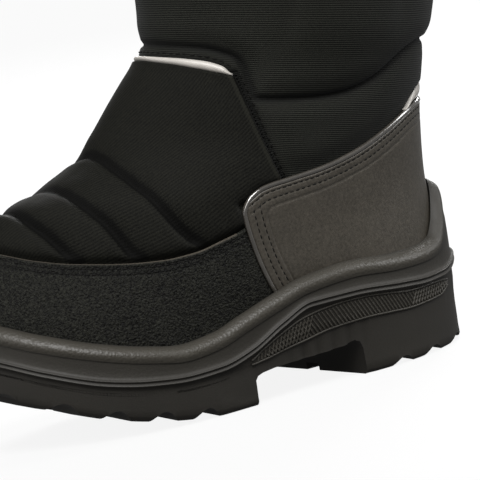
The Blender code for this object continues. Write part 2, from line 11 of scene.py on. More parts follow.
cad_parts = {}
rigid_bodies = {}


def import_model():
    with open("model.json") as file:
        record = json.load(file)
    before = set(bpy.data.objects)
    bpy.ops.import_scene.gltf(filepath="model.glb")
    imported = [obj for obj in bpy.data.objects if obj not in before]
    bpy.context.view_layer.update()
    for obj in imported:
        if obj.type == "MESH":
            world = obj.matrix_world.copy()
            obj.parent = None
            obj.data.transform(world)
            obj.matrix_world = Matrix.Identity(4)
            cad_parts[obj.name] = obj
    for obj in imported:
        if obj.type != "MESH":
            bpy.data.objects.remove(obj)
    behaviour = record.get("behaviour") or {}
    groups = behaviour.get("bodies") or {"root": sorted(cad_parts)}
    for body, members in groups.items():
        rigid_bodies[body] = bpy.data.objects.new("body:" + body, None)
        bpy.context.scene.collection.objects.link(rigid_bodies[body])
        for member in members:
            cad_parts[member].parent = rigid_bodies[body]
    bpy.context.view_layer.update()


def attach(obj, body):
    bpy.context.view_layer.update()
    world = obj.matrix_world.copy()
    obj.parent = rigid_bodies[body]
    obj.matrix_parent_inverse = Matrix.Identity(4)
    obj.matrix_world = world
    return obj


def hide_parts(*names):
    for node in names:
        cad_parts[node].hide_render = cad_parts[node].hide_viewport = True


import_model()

mm = 0.001


def addObject(name, data):
    thing = bpy.data.objects.new(name, data)
    bpy.context.scene.collection.objects.link(thing)
    return thing


# camera and light
view = {
    "azimuth": -25.0, "elevation": 8.0, "roll": 10.6, "distance": 1.700, "lens": 308.6, "sensor": 36.0,
    "anchor": (0.04287, -0.031, 0.0), "anchorRight": 0.05248, "anchorUp": -0.05372, "farEnd": 60,
}


def placeCamera():
    side, rise, roll = (math.radians(view[key]) for key in ("azimuth", "elevation", "roll"))
    back = Vector((math.sin(side) * math.cos(rise), -math.cos(side) * math.cos(rise), math.sin(rise)))
    level = Vector((math.cos(side), math.sin(side), 0))
    upright = back.cross(level)
    right = level * math.cos(roll) - upright * math.sin(roll)
    up = level * math.sin(roll) + upright * math.cos(roll)
    eye = Vector(view["anchor"]) + back * view["distance"]
    eye -= right * view["anchorRight"] + up * view["anchorUp"]
    data = bpy.data.cameras.new("photoCamera")
    data.lens, data.sensor_width, data.clip_end = view["lens"], view["sensor"], view["farEnd"]
    camera = addObject("photoCamera", data)
    camera.matrix_world = Matrix((*zip(right, up, back, eye), (0, 0, 0, 1)))
    bpy.context.scene.camera = camera


placeCamera()

studio = {
    "worldGrey": 0.30, "sunPower": 4.2, "sunWidth": 30, "sunFrom": (-0.18, -0.62, 1.0),
    "floorAlbedo": 0.04, "floorRough": 0.9, "floorGloss": 0.1, "floorRadius": 14.0, "floorSteps": 48,
    "floorGlow": 0.885, "floorBounce": 0.14,
}
# place, target, power, size and tint
softboxes = {
    "frontSoftbox": ((-0.60, -0.95, 0.85), (0.0, 0.0, 0.08), 6.0, (0.9, 0.6), (1.0, 0.97, 0.93)),
    "heelSoftbox": ((0.85, -0.25, 0.60), (0.08, 0.0, 0.14), 6.0, (0.3, 0.6), (1, 1, 1)),
    "innerSoftbox": ((0.80, 1.10, 0.85), (0.02, 0.0, 0.10), 28.0, (0.9, 0.8), (1, 1, 1)),
    "toeSoftbox": ((-1.30, 0.0, 0.35), (-0.05, 0.0, 0.08), 7.0, (1.2, 0.9), (1, 1, 1)),
}


def lightStudio():
    scene = bpy.context.scene
    scene.view_settings.view_transform = "Standard"
    scene.world = bpy.data.worlds.new("paleRoom")
    scene.world.use_nodes = True
    sky = scene.world.node_tree.nodes["Background"].inputs
    sky["Color"].default_value = (1, 1, 1, 1)
    sky["Strength"].default_value = studio["worldGrey"]
    data = bpy.data.lights.new("highSun", "SUN")
    data.energy, data.angle = studio["sunPower"], math.radians(studio["sunWidth"])
    lamp = addObject("highSun", data)
    lamp.rotation_euler = Vector(studio["sunFrom"]).to_track_quat("Z", "Y").to_euler()
    for name, (place, target, power, size, tint) in softboxes.items():
        data = bpy.data.lights.new(name, "AREA")
        data.shape = "RECTANGLE"
        data.size, data.size_y = size
        data.energy, data.color = power, tint
        lamp = addObject(name, data)
        lamp.location = place
        lamp.rotation_euler = (Vector(target) - Vector(place)).to_track_quat("-Z", "Y").to_euler()


def layFloor():
    steps, reach = studio["floorSteps"], studio["floorRadius"]
    angles = [2 * math.pi * k / steps for k in range(steps)]
    points = [(0, 0, 0)] + [(reach * math.cos(angle), reach * math.sin(angle), 0) for angle in angles]
    mesh = bpy.data.meshes.new("paleFloor")
    mesh.from_pydata(points, [], [(0, k + 1, (k + 1) % steps + 1) for k in range(steps)])
    floor = addObject("paleFloor", mesh)
    # the floor shows pale, and throws less light back up at the boot than it shows
    paint = bpy.data.materials.new("paleFloor")
    paint.use_nodes = True
    tree = paint.node_tree
    shown = tree.nodes["Principled BSDF"]
    thrown = tree.nodes.new("ShaderNodeBsdfPrincipled")
    for shader, glow in ((shown, studio["floorGlow"]), (thrown, studio["floorBounce"])):
        shader.inputs["Base Color"].default_value = (*[studio["floorAlbedo"]] * 3, 1)
        shader.inputs["Roughness"].default_value = studio["floorRough"]
        shader.inputs["Specular IOR Level"].default_value = studio["floorGloss"]
        shader.inputs["Emission Color"].default_value = (1, 1, 1, 1)
        shader.inputs["Emission Strength"].default_value = glow
    either = tree.nodes.new("ShaderNodeMixShader")
    seen = tree.nodes.new("ShaderNodeLightPath").outputs["Is Camera Ray"]
    sources = (seen, thrown.outputs[0], shown.outputs[0])
    for source, socket in zip(sources, either.inputs):
        tree.links.new(source, socket)
    tree.links.new(either.outputs[0], tree.nodes["Material Output"].inputs["Surface"])
    mesh.materials.append(paint)


lightStudio()
layFloor()
print("camera, light and floor placed")


# materials
def mathStep(operation, swapped=False):
    # an operator that adds one Math node
    def step(value, other):
        pair = (other, value) if swapped else (value, other)
        return value.builder.add("Math", pair, operation=operation)
    return step


class Value:
    # a socket that arithmetic works on
    def __init__(self, builder, socket):
        self.builder = builder
        self.socket = socket

    def wave(self, length):
        # a sine of this length between 0 and 1
        turned = self * (2 * math.pi / length)
        return self.builder.add("Math", (turned,), operation="SINE") * 0.5 + 0.5

    __add__, __radd__ = mathStep("ADD"), mathStep("ADD", True)
    __sub__, __rsub__ = mathStep("SUBTRACT"), mathStep("SUBTRACT", True)
    __mul__, __rmul__ = mathStep("MULTIPLY"), mathStep("MULTIPLY", True)
    __truediv__, __rtruediv__ = mathStep("DIVIDE"), mathStep("DIVIDE", True)


class Builder:
    # fills a node tree; values are numbers, or what an earlier add gave
    def add(self, kind, values=(), out=0, **settings):
        node = self.tree.nodes.new(kind if "Node" in kind else self.prefix + kind)
        for key, value in settings.items():
            setattr(node, key, value)
        self.fill(node, values)
        return Value(self, node.outputs[out])

    def fill(self, node, values):
        for key, value in values.items() if isinstance(values, dict) else enumerate(values):
            if isinstance(value, Value):
                self.tree.links.new(value.socket, node.inputs[key])
            else:
                node.inputs[key].default_value = value


class Finish(Builder):
    # one material: its node tree and its main shader
    prefix = "ShaderNode"

    def __init__(self, name, **sockets):
        self.material = bpy.data.materials.new(name)
        self.material.use_nodes = True
        self.tree = self.material.node_tree
        self.shader = self.tree.nodes["Principled BSDF"]
        self.paint(**sockets)

    def paint(self, **sockets):
        self.fill(self.shader, {key.replace("_", " "): value for key, value in sockets.items()})
        return self.material

    def place(self):
        return self.add("TexCoord", out="Object")

    def mark(self, name):
        return self.add("Attribute", out="Fac", attribute_name=name)

    def noise(self, where, scale, detail=3.0, rough=0.55, out="Fac"):
        values = {"Vector": where, "Scale": scale, "Detail": detail, "Roughness": rough}
        return self.add("TexNoise", values, out)

    def cells(self, where, scale):
        return self.add("TexVoronoi", {"Vector": where, "Scale": scale, "Smoothness": 0.6}, "Distance",
                        feature="SMOOTH_F1")

    def mix(self, share, *tones):
        first, second = (tone if isinstance(tone, Value) else (*tone, 1) for tone in tones)
        return self.add("Mix", {0: share, 6: first, 7: second}, 2, data_type="RGBA", clamp_factor=True)

    def relief(self, *layers):
        # layers of height, strength and depth in mm, each bump on the one before it
        bump = {}
        for height, strength, depth in layers:
            values = {"Height": height, "Strength": strength, "Distance": depth * mm}
            bump = {"Normal": self.add("Bump", {**values, **bump})}
        return bump["Normal"]


def ribbedCloth(name, look):
    cloth = Finish(name, Specular_IOR_Level=look["gloss"], Sheen_Weight=look["sheen"],
                   Sheen_Roughness=look["sheenRough"], Sheen_Tint=(*look["sheenTint"], 1))
    flat = cloth.add("UVMap", uv_map="flat")
    across, along = (cloth.add("SeparateXYZ", (flat,), out) for out in (0, 1))
    turned = math.radians(look["angle"])
    over = along * math.cos(turned) + across * math.sin(turned)
    beside = across * math.cos(turned) - along * math.sin(turned)
    place = cloth.place()
    drift, cloud = cloth.noise(place, 60.0, 2.0), cloth.noise(place, 22.0, 2.0)
    speck = cloth.noise(place, 1500.0, 2.0)
    rib = (over + (drift - 0.5) * look["drift"]).wave(look["pitch"])
    thread = beside.wave(look["thread"])
    tone = rib * look["ribTone"] + speck * look["speck"] + cloud * 0.3
    # painted shade: the marked troughs, seams and quilting line are darkened in the colour; where the mark
    # falls below zero it lightens the colour, a painted highlight
    tone = tone + (0.30 - 0.5 * (look["ribTone"] + look["speck"])) - cloth.mark("creaseShade") * look["shade"]
    normal = cloth.relief((cloud, 0.15, 2.0), (rib, look["relief"], 0.22), (thread * 0.5 + speck, 0.35, 0.06))
    return cloth.paint(Base_Color=cloth.mix(tone, look["dark"], look["light"]),
                       Roughness=speck * 0.16 + look["rough"], Normal=normal)


shaftLook = {
    "pitch": 0.90 * mm, "thread": 0.55 * mm, "angle": 0.0, "drift": 0.45 * mm, "relief": 0.55,
    "dark": (0.0012, 0.0013, 0.0009), "light": (0.0150, 0.0156, 0.0120), "ribTone": 1.1, "speck": 0.9,
    "shade": 1.2, "rough": 0.62, "gloss": 0.10, "sheen": 0.06, "sheenRough": 0.45,
    "sheenTint": (0.80, 0.82, 0.86),
}
vampLook = {
    "pitch": 1.10 * mm, "thread": 0.60 * mm, "angle": 110.0, "drift": 1.1 * mm, "relief": 0.22,
    "dark": (0.0005, 0.0005, 0.0003), "light": (0.0090, 0.0090, 0.0068), "ribTone": 0.40, "speck": 1.6,
    "shade": 1.6, "rough": 0.68, "gloss": 0.075, "sheen": 0.02, "sheenRough": 0.45,
    "sheenTint": (0.85, 0.84, 0.82),
}


def pebbledGuard():
    hide = Finish("pebbledGuard", Specular_IOR_Level=0.12)
    place = hide.place()
    waver = hide.noise(place, 300.0, 2.0, 0.5, "Color")
    warp = hide.add("VectorMath", (waver, (0.0016, 0.0016, 0.0016), place), operation="MULTIPLY_ADD")
    pebble, wrinkle = hide.cells(warp, 1150.0), hide.noise(warp, 1050.0, 5.0, 0.70)
    # painted shade: darker colour along the stitch furrows
    tone = wrinkle * 4.2 - 1.85 + hide.noise(place, 90.0, 2.0) * 0.3 - hide.mark("furrowShade") * 0.5
    colour = hide.mix(tone, (0.0003, 0.0003, 0.0002), (0.0155, 0.0158, 0.0122))
    # painted highlight: a lighter colour along the top edge
    colour = hide.mix(hide.mark("rim"), colour, (0.060, 0.052, 0.041))
    normal = hide.relief(((1 - pebble) * 0.6 + wrinkle * 0.8, 1.0, 0.70))
    return hide.paint(Base_Color=colour, Roughness=wrinkle * 0.2 + 0.52, Normal=normal)


def mouldedSole():
    foam = Finish("mouldedSole", Specular_IOR_Level=0.30)
    place, grainAndHighlight = foam.place(), foam.mark("grain")
    pebble, grain = foam.cells(place, 900.0), foam.noise(place, 1900.0)
    # the grain mark brings the pebbles and a lighter colour; the lighter colour is painted highlight on the
    # bead, the ledge's lips and the side ribs
    tone = foam.noise(place, 45.0) * 0.3 + grain * 0.3 - 0.2 + grainAndHighlight * 0.75
    normal = foam.relief(((1 - pebble) * grainAndHighlight + grain * 0.25, 0.55, 0.30))
    return foam.paint(Base_Color=foam.mix(tone, (0.0076, 0.0067, 0.0051), (0.0320, 0.0290, 0.0230)),
                      Roughness=grain * 0.12 + 0.38 + (1 - grainAndHighlight) * 0.22, Normal=normal)


def layeredFinish(name, look, **sockets):
    # each layer: kind, its measures, share in the colour, and for its bump strength and depth in mm
    finish = Finish(name, **sockets)
    place = finish.place()
    tone, bumps, layers = look.get("tone", 0.0), [], []
    for kind, measures, share, *bump in look["layers"]:
        layers.append(getattr(finish, kind)(place, *measures))
        tone = layers[-1] * share + tone
        if bump:
            bumps.append((layers[-1], *bump))
    layer, share, rough = look["rough"]
    return finish.paint(Base_Color=finish.mix(tone, look["dark"], look["light"]),
                        Roughness=layers[layer] * share + rough, Normal=finish.relief(*bumps))


shaftPaint = ribbedCloth("shaftCloth", shaftLook)
vampPaint = ribbedCloth("vampCloth", vampLook)
guardPaint = pebbledGuard()
solePaint = mouldedSole()
fleecePaint = layeredFinish("darkFleece", {
    "layers": (("cells", (420.0,), 0.6, 0.8, 0.9), ("noise", (1400.0,), 0.5, 0.5, 0.25)),
    "dark": (0.030, 0.030, 0.030), "light": (0.075, 0.075, 0.073), "rough": (1, 0.1, 0.85),
}, Specular_IOR_Level=0.1, Sheen_Weight=0.3, Sheen_Roughness=0.6)
counterPaint = layeredFinish("satinCounter", {
    "layers": (("noise", (35.0,), 0.5, 0.10, 1.0), ("noise", (260.0, 4.0, 0.7), 0.2, 0.12, 0.12),
               ("noise", (850.0, 4.0, 0.8), 2.4, 0.8, 0.14)),
    "tone": -1.20, "dark": (0.0225, 0.0195, 0.0146), "light": (0.0560, 0.0490, 0.0385),
    "rough": (1, 0.14, 0.34),
}, Specular_IOR_Level=0.45)
bindingPaint = layeredFinish("glossyBinding", {
    "layers": (("noise", (240.0, 2.0), 1.0, 0.25, 0.4), ("noise", (1600.0, 2.0), 0.0, 0.15, 0.04)),
    "dark": (0.020, 0.018, 0.015), "light": (0.050, 0.045, 0.038), "rough": (1, 0.10, 0.12),
}, Specular_IOR_Level=1.0, Coat_Weight=1.0, Coat_Roughness=0.14)
tapePaint = layeredFinish("reflectiveTape", {
    "layers": (("noise", (160.0,), 0.7, 0.2, 0.3), ("cells", (2600.0,), 0.4, 0.3, 0.05)),
    "dark": (0.26, 0.245, 0.225), "light": (0.42, 0.40, 0.37), "rough": (1, 0.2, 0.35),
}, Specular_IOR_Level=0.6)
threadPaint = layeredFinish("darkThread", {
    "layers": (("noise", (2400.0, 2.0), 1.0, 0.5, 0.1),),
    "dark": (0.0010, 0.0010, 0.0008), "light": (0.0050, 0.0048, 0.0040), "rough": (0, 0.2, 0.6),
}, Specular_IOR_Level=0.12)
feltPaint = layeredFinish("feltBed", {
    "layers": (("noise", (900.0, 4.0, 0.7), 0.8, 0.7, 0.4), ("noise", (60.0, 2.0), 0.3)),
    "dark": (0.045, 0.045, 0.045), "light": (0.100, 0.098, 0.095), "rough": (0, 0.1, 0.85),
}, Specular_IOR_Level=0.15)
print("materials made")

# the last, as in the solids
last = {
    "length": 0.207, "ballWidth": 0.086, "height": 0.210, "toeSwing": 0.006, "waistSwing": 0.001,
    "heelBed": 0.028, "ballBed": 0.0155, "toeBed": 0.037, "dipPlace": 0.62, "heelAt": 0.095398,
    "swingGoneRow": 10.4, "swingFadeRows": 8.0,
}
widthPlaces = np.array((0, 0.13, 0.4, 0.66, 0.86, 1))
# front, up, back, up, half widths from the back of the row to its front, share of the footbed's dip
upperRows = np.array((
    (0.985, 0, 0.012, 0, 0.5, 0.48, 0.365, 0.45, 0.5, 0.5, 1),
    (1, 0.06, 0, 0.045, 0.52, 0.5, 0.4, 0.475, 0.53, 0.53, 0.9),
    (0.995, 0.125, -0.006, 0.095, 0.5, 0.49, 0.43, 0.485, 0.52, 0.52, 0.65),
    (0.962, 0.205, -0.008, 0.15, 0.48, 0.47, 0.44, 0.48, 0.47, 0.46, 0.4),
    (0.9, 0.274, -0.008, 0.205, 0.46, 0.455, 0.45, 0.46, 0.42, 0.38, 0.15),
    (0.8, 0.3105, -0.013, 0.265, 0.45, 0.45, 0.45, 0.44, 0.38, 0.33, 0),
    (0.7, 0.36, -0.02, 0.325, 0.45, 0.45, 0.455, 0.435, 0.37, 0.32, 0),
    (0.618, 0.44, -0.03, 0.385, 0.47, 0.47, 0.475, 0.45, 0.38, 0.33, 0),
    (0.55, 0.518, -0.042, 0.44, 0.5, 0.5, 0.505, 0.48, 0.43, 0.38, 0),
    (0.513, 0.6, -0.072, 0.51, 0.54, 0.54, 0.545, 0.53, 0.5, 0.47, 0),
    (0.5, 0.74, -0.105, 0.64, 0.57, 0.57, 0.57, 0.565, 0.56, 0.55, 0),
    (0.48, 1, -0.122, 0.905, 0.59, 0.59, 0.59, 0.59, 0.59, 0.58, 0),
))
lastRow = len(upperRows) - 1
bedRows = (
    (0, 0), (0.15, 0.02), (0.35, 0.35), (0.5, 0.78), (0.6, 1), (0.7, 1.02), (0.82, 0.8), (0.92, 0.4), (1, 0),
)
swingRows = ((0, 0, 0), (0.25, -0.2, 0), (0.45, -1, 0), (0.68, 0, 0.02), (0.85, 0, 0.42), (1, 0, 1))

# lines on the upper: turn from the back over the outer side to the toe, row from the sole to the collar
counterTop = (
    (0, 6.45), (0.046, 6.41), (0.08, 6.34), (0.11, 6.12), (0.143, 5.66), (0.179, 5.08), (0.208, 4.71),
    (0.23, 4.52), (0.25, 4.33), (0.262, 3.95),
)
counterFront = ((0, 0.2085), (4.2, 0.263))
guardTop = (
    (0.25, 3.46), (0.262, 3.33), (0.275, 3.22), (0.289, 3.11), (0.315, 3.03), (0.374, 3.05), (0.411, 3.1),
    (0.45, 3.2), (0.5, 3.26),
)
tapeLow = ((0.339, 7.68), (0.354, 7.75), (0.383, 7.87), (0.431, 8), (0.5, 8.07))
tapeHigh = ((0.339, 7.72), (0.357, 7.92), (0.381, 8.05), (0.428, 8.14), (0.5, 8.18))
backTapeHigh = ((0, 7.3), (0.05, 7.16), (0.08, 6.96), (0.095, 6.68), (0.11, 6.3))
vampSeam = (
    (3, 0.228), (4.38, 0.232), (4.69, 0.24), (5.77, 0.271), (6.62, 0.299), (7.37, 0.326), (7.7, 0.339),
    (8.2, 0.356),
)
quiltRing = (
    (0, 8.52), (0.08, 8.5), (0.106, 8.45), (0.135, 8.18), (0.148, 7.98), (0.181, 7.38), (0.198, 7.18),
    (0.214, 7.06), (0.244, 7), (0.28, 7.02), (0.303, 7.07), (0.318, 7.43), (0.333, 7.87), (0.346, 8.12),
    (0.365, 8.27), (0.39, 8.38), (0.436, 8.45), (0.5, 8.5),
)
# troughs of the vamp, from the outer side over the ridge to the inner side
vampTroughs = (
    ((0.285, 3.18), (0.299, 3.46), (0.322, 4.08), (0.338, 4.45), (0.357, 4.78), (0.377, 5.11), (0.404, 5.46),
     (0.436, 5.78), (0.456, 5.89), (0.479, 5.95), (0.505, 5.86), (0.534, 5.7), (0.57, 5.4), (0.61, 4.95),
     (0.65, 4.3), (0.68, 3.65), (0.705, 3.18)),
    ((0.328, 3.08), (0.351, 3.61), (0.363, 3.88), (0.385, 4.23), (0.42, 4.66), (0.448, 4.86), (0.473, 4.94),
     (0.499, 4.91), (0.516, 4.8), (0.555, 4.55), (0.6, 4.1), (0.64, 3.45), (0.66, 3.08)),
    ((0.374, 3.08), (0.394, 3.39), (0.408, 3.61), (0.426, 3.81), (0.447, 4), (0.47, 4.13), (0.496, 4.17),
     (0.53, 4.08), (0.57, 3.75), (0.6, 3.4), (0.622, 3.08)),
)


def hermite(knots, values, slopes, x):
    spans = np.diff(knots)
    cell = np.clip(np.searchsorted(knots, x, side="right") - 1, 0, len(knots) - 2)
    share = (x - knots[cell]) / spans[cell]
    row = np.arange(len(x))
    start, end = values[row, cell], values[row, cell + 1]
    startSlope, endSlope = slopes[row, cell] * spans[cell], slopes[row, cell + 1] * spans[cell]
    square, cube = share ** 2, share ** 3
    return ((2 * cube - 3 * square + 1) * start + (cube - 2 * square + share) * startSlope
            + (3 * square - 2 * cube) * end + (cube - square) * endSlope)


def tableCurve(points, column=1):
    # a smooth curve through a table that doesn't overshoot it
    table = np.array(points, dtype=float)
    knots, values = table[:, 0], table[:, column]
    spans = np.diff(knots)
    rises = np.diff(values) / spans
    slopes = np.zeros(len(knots))
    for i in range(1, len(knots) - 1):
        if rises[i - 1] * rises[i] > 0:
            before, after = 2 * spans[i] + spans[i - 1], spans[i] + 2 * spans[i - 1]
            slopes[i] = (before + after) / (before / rises[i - 1] + after / rises[i])

    def at(x):
        x = np.asarray(x, dtype=float)
        flat = np.clip(x.reshape(-1), knots[0], knots[-1])
        size = (len(flat), len(knots))
        spread = (np.broadcast_to(part, size) for part in (values, slopes))
        return hermite(knots, *spread, flat).reshape(x.shape)
    return at


def unit(value):
    return np.clip(value, 0, 1)


def bell(distance, width):
    return np.exp(-(distance / width) ** 2)


def swell(distance, reach):
    return 1 - bell(distance, reach)


def roundEdge(distance, radius):
    # quarter round from an edge: 0 on it, 1 from its radius inwards
    return np.sqrt(unit(1 - (1 - unit(distance / radius)) ** 2))


def unitVectors(vectors):
    return vectors / np.linalg.norm(vectors, axis=-1, keepdims=True)


def pointTree(points):
    tree = KDTree(len(points))
    for k, point in enumerate(points):
        tree.insert(point, k)
    tree.balance()
    return tree


bedDip = tableCurve(bedRows)
waistCurve, toeCurve = tableCurve(swingRows, 1), tableCurve(swingRows, 2)
bedDipDepth = last["heelBed"] + (last["toeBed"] - last["heelBed"]) * last["dipPlace"] - last["ballBed"]
counterTopRow, guardTopRow = tableCurve(counterTop), tableCurve(guardTop)
tapeLowRow, tapeHighRow, backTapeRow = tableCurve(tapeLow), tableCurve(tapeHigh), tableCurve(backTapeHigh)
seamTurn = tableCurve(vampSeam)
troughRows = [tableCurve(trough) for trough in vampTroughs]


def footPlace(x):
    # place along the last, 0 at the heel and 1 at the toe
    return unit((last["heelAt"] - x) / last["length"])


def footbed(place, follow=1.0):
    return last["heelBed"] + (last["toeBed"] - last["heelBed"]) * place - follow * bedDip(place) * bedDipDepth


def lastSwing(place):
    return waistCurve(place) * last["waistSwing"] + toeCurve(place) * last["toeSwing"]


def foldTurn(turn):
    turn = np.mod(turn, 1.0)
    return np.minimum(turn, 1.0 - turn)


def rowValues(row):
    table = np.vstack((2 * upperRows[0] - upperRows[1], upperRows, 2 * upperRows[-1] - upperRows[-2]))
    row = np.clip(row, 0, lastRow)
    cell = np.minimum(row.astype(int), lastRow - 1)
    share = (row - cell)[..., None]
    a, b, c, d = (table[cell + k] for k in range(4))
    return 0.5 * (2 * b + (c - a) * share + (2 * a - 5 * b + 4 * c - d) * share ** 2
                  + (3 * b - a - 3 * c + d) * share ** 3)


def upperBase(turn, row):
    # the upper's base surface
    turn, row = np.broadcast_arrays(np.asarray(turn, dtype=float), np.asarray(row, dtype=float))
    values = rowValues(row)
    angle = 2 * math.pi * turn
    ahead = (1 - np.cos(angle)) / 2
    back, low, front, high = values[..., 2], values[..., 3], values[..., 0], values[..., 1]
    widths = values[..., 4:10].reshape(-1, len(widthPlaces))
    spans = np.diff(widthPlaces)
    rises = np.diff(widths, axis=1) / spans
    slopes = np.empty(widths.shape)
    slopes[:, 0], slopes[:, -1] = rises[:, 0], rises[:, -1]
    slopes[:, 1:-1] = (rises[:, 1:] * spans[:-1] + rises[:, :-1] * spans[1:]) / (spans[1:] + spans[:-1])
    half = hermite(widthPlaces, widths, slopes, ahead.reshape(-1)).reshape(ahead.shape) * last["ballWidth"]
    place = back + (front - back) * ahead
    fade = unit((last["swingGoneRow"] - row) / last["swingFadeRows"])
    return np.stack((
        last["heelAt"] - place * last["length"],
        lastSwing(unit(place)) * fade - np.sin(angle) * half,
        footbed(unit(place), values[..., 10]) + (low + (high - low) * ahead) * last["height"],
    ), axis=-1)


def upperNormal(turn, row):
    turn, row = np.broadcast_arrays(np.asarray(turn, dtype=float), np.asarray(row, dtype=float))
    around = upperBase(turn + 0.001, row) - upperBase(turn - 0.001, row)
    upward = upperBase(turn, np.clip(row + 0.02, 0, lastRow)) - upperBase(turn, np.clip(row - 0.02, 0, lastRow))
    return unitVectors(np.cross(upward, around))


def upperOffset(turn, row, out):
    return upperBase(turn, row) + upperNormal(turn, row) * np.asarray(out)[..., None]


def metricTurn(turn, row, distance):
    reach = np.linalg.norm(upperBase(turn + 0.002, row) - upperBase(turn - 0.002, row), axis=-1) / 0.004
    return distance / reach


def metricRow(turn, row, distance):
    reach = np.linalg.norm(upperBase(turn, row + 0.02) - upperBase(turn, row - 0.02), axis=-1) / 0.04
    return distance / reach


def counterEdge(row):
    return np.interp(row, *zip(*counterFront))


def nearestPath(line, mirrored=True):
    # gives the distance to a line of (turn, row) pairs, on both sides of the boot if mirrored
    line = np.array(line, dtype=float)
    stops = np.linspace(0, len(line) - 1, 60 * len(line))
    turns, rows = (np.interp(stops, range(len(line)), line[:, k]) for k in (0, 1))
    points = upperBase(turns, rows)
    if mirrored:
        points = np.vstack((points, upperBase(1 - turns, rows)))
    tree = pointTree(points)

    def distance(spots):
        return np.array([tree.find(spot)[2] for spot in spots.reshape(-1, 3)]).reshape(spots.shape[:-1])
    return distance


def curveLine(curve, start, end, count=80):
    turns = np.linspace(start, end, count)
    return np.column_stack((turns, curve(turns)))


# turns where the counter's front and top end, where the back tape ends and where the front tape starts
joint, counterCorner, backTapeEnd, tapeStart = counterFront[-1][1], counterTop[-1][0], 0.11, tapeLow[0][0]
frontRows, seamRows = np.linspace(0.2, 3.95, 60), np.linspace(3.4, 7.70, 60)
toCounterTop = nearestPath(curveLine(counterTopRow, 0, counterCorner))
toCounterFront = nearestPath(np.column_stack((counterEdge(frontRows), frontRows)))
toGuardTop = nearestPath(curveLine(guardTopRow, 0.25, 0.5))
toTapeLow, toTapeHigh = (nearestPath(curveLine(curve, tapeStart, 0.5)) for curve in (tapeLowRow, tapeHighRow))
toSeam = nearestPath(np.column_stack((seamTurn(seamRows), seamRows)))
toQuilt = nearestPath(curveLine(tableCurve(quiltRing), 0, 0.5, 200))
toTroughs = [nearestPath(curveLine(curve, trough[0][0], trough[-1][0], 40), False)
             for curve, trough in zip(troughRows, vampTroughs)]
print("surface lines ready")


def softNoise(points, size, seed):
    # smooth unevenness between -1 and 1, size is its wave length
    chance = np.random.RandomState(seed)
    total = np.zeros(points.shape[:-1])
    for _ in range(7):
        way = chance.normal(size=3)
        way /= np.linalg.norm(way)
        turns = points @ way * (2 * math.pi / size) * chance.uniform(0.7, 1.4)
        total += np.sin(turns + chance.uniform(0, 6.28))
    return total / 7


# mesh helpers
def makeMesh(name, points, faces, paints=(), tight=False, sharp=40, uv=None, marks=None):
    mesh = bpy.data.meshes.new(name)
    mesh.from_pydata(np.asarray(points).tolist(), [], faces)
    if uv is not None:
        mesh.uv_layers.new(name="flat").data.foreach_set("uv", np.asarray(uv, dtype=np.float32).reshape(-1))
    for key, values in (marks or {}).items():
        addMark(mesh, key, values)
    if tight:
        work = bmesh.new()
        work.from_mesh(mesh)
        bmesh.ops.recalc_face_normals(work, faces=work.faces)
        work.to_mesh(mesh)
        work.free()
    mesh.shade_smooth()
    mesh.set_sharp_from_angle(angle=math.radians(sharp))
    for paint in paints:
        mesh.materials.append(paint)
    return addObject(name, mesh)


def addMark(mesh, name, values, kind="FLOAT"):
    spot = mesh.attributes.new(name, kind, "POINT")
    key = "value" if kind == "FLOAT" else "vector"
    spot.data.foreach_set(key, np.asarray(values, dtype=np.float32).reshape(-1))


def gridFaces(rows, across, closed):
    k, i = np.meshgrid(np.arange(rows - 1), np.arange(across if closed else across - 1), indexing="ij")
    j = (i + 1) % across
    corners = (k * across + i, (k + 1) * across + i, (k + 1) * across + j, k * across + j)
    return np.stack(corners, axis=-1).reshape(-1, 4).tolist()


def slab(under, over):
    # faces of a sheet between two grids
    rows, across = under.shape[:2]
    count = rows * across
    upper = gridFaces(rows, across, False)
    faces = [[corner + count for corner in face] for face in upper] + [face[::-1] for face in upper]
    border = list(range(across)) + [k * across + across - 1 for k in range(1, rows)]
    border += [(rows - 1) * across + i for i in range(across - 2, -1, -1)]
    border += [k * across for k in range(rows - 2, 0, -1)]
    faces += [[a, b, b + count, a + count] for a, b in zip(border, border[1:] + border[:1])]
    return np.concatenate((under.reshape(-1, 3), over.reshape(-1, 3))), faces


def addPanel(name, turn, row, low, high, paint, flat=None, marks=None, **look):
    # a sheet on the upper, from low to high over it; flat gives each point's metres across and along
    points, faces = slab(upperOffset(turn, row, low), upperOffset(turn, row, high))
    marks = {key: np.tile(values.reshape(-1), 2) for key, values in (marks or {}).items()}
    uv = None if flat is None else flat.reshape(-1, 2)[np.ravel(faces) % turn.size]
    return makeMesh(name, points, faces, (paint,), uv=uv, marks=marks, **look)


def closerEnds(count, ease=0.8):
    # shares from 0 to 1 that lie closer together at both ends
    even = np.linspace(0, 1, count)
    return even - ease * np.sin(2 * math.pi * even) / (2 * math.pi)


def settle(piece, slotName, *nodes):
    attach(piece, "root")
    if nodes:
        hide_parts(*nodes)
    return piece


# shaft cloth and lining
shaft = {
    "columns": 330, "hiddenRows": 8, "rows": 205, "liningRows": 26, "round": 0.33, "wall": 5.0 * mm,
    "puff": 2.6 * mm, "soft": 6.5 * mm, "seamReach": 7.0 * mm, "seamDitch": 1.6 * mm, "sunk": -0.9 * mm,
    "quiltDepth": 0.65, "quiltWidth": 5.0 * mm, "grooveDepth": 1.5 * mm, "grooveWidth": 1.3 * mm,
    "hemRise": 1.8 * mm, "hemBand": 13.0 * mm, "hemDip": 0.9 * mm, "hemWidth": 1.4 * mm, "collarFade": 9 * mm,
    "uneven": 0.22 * mm, "foldDepth": 0.8 * mm, "tapeHeight": 0.3 * mm, "sunkEdge": 1.2 * mm,
}
# upright folds: turn, half width, depth, row where each starts and rows it takes, row where it ends
shaftFolds = ((0.300, 0.012, 1.0, 8.3, 0.8, 10.9), (0.165, 0.014, 0.7, 8.6, 1.0, 11.0))


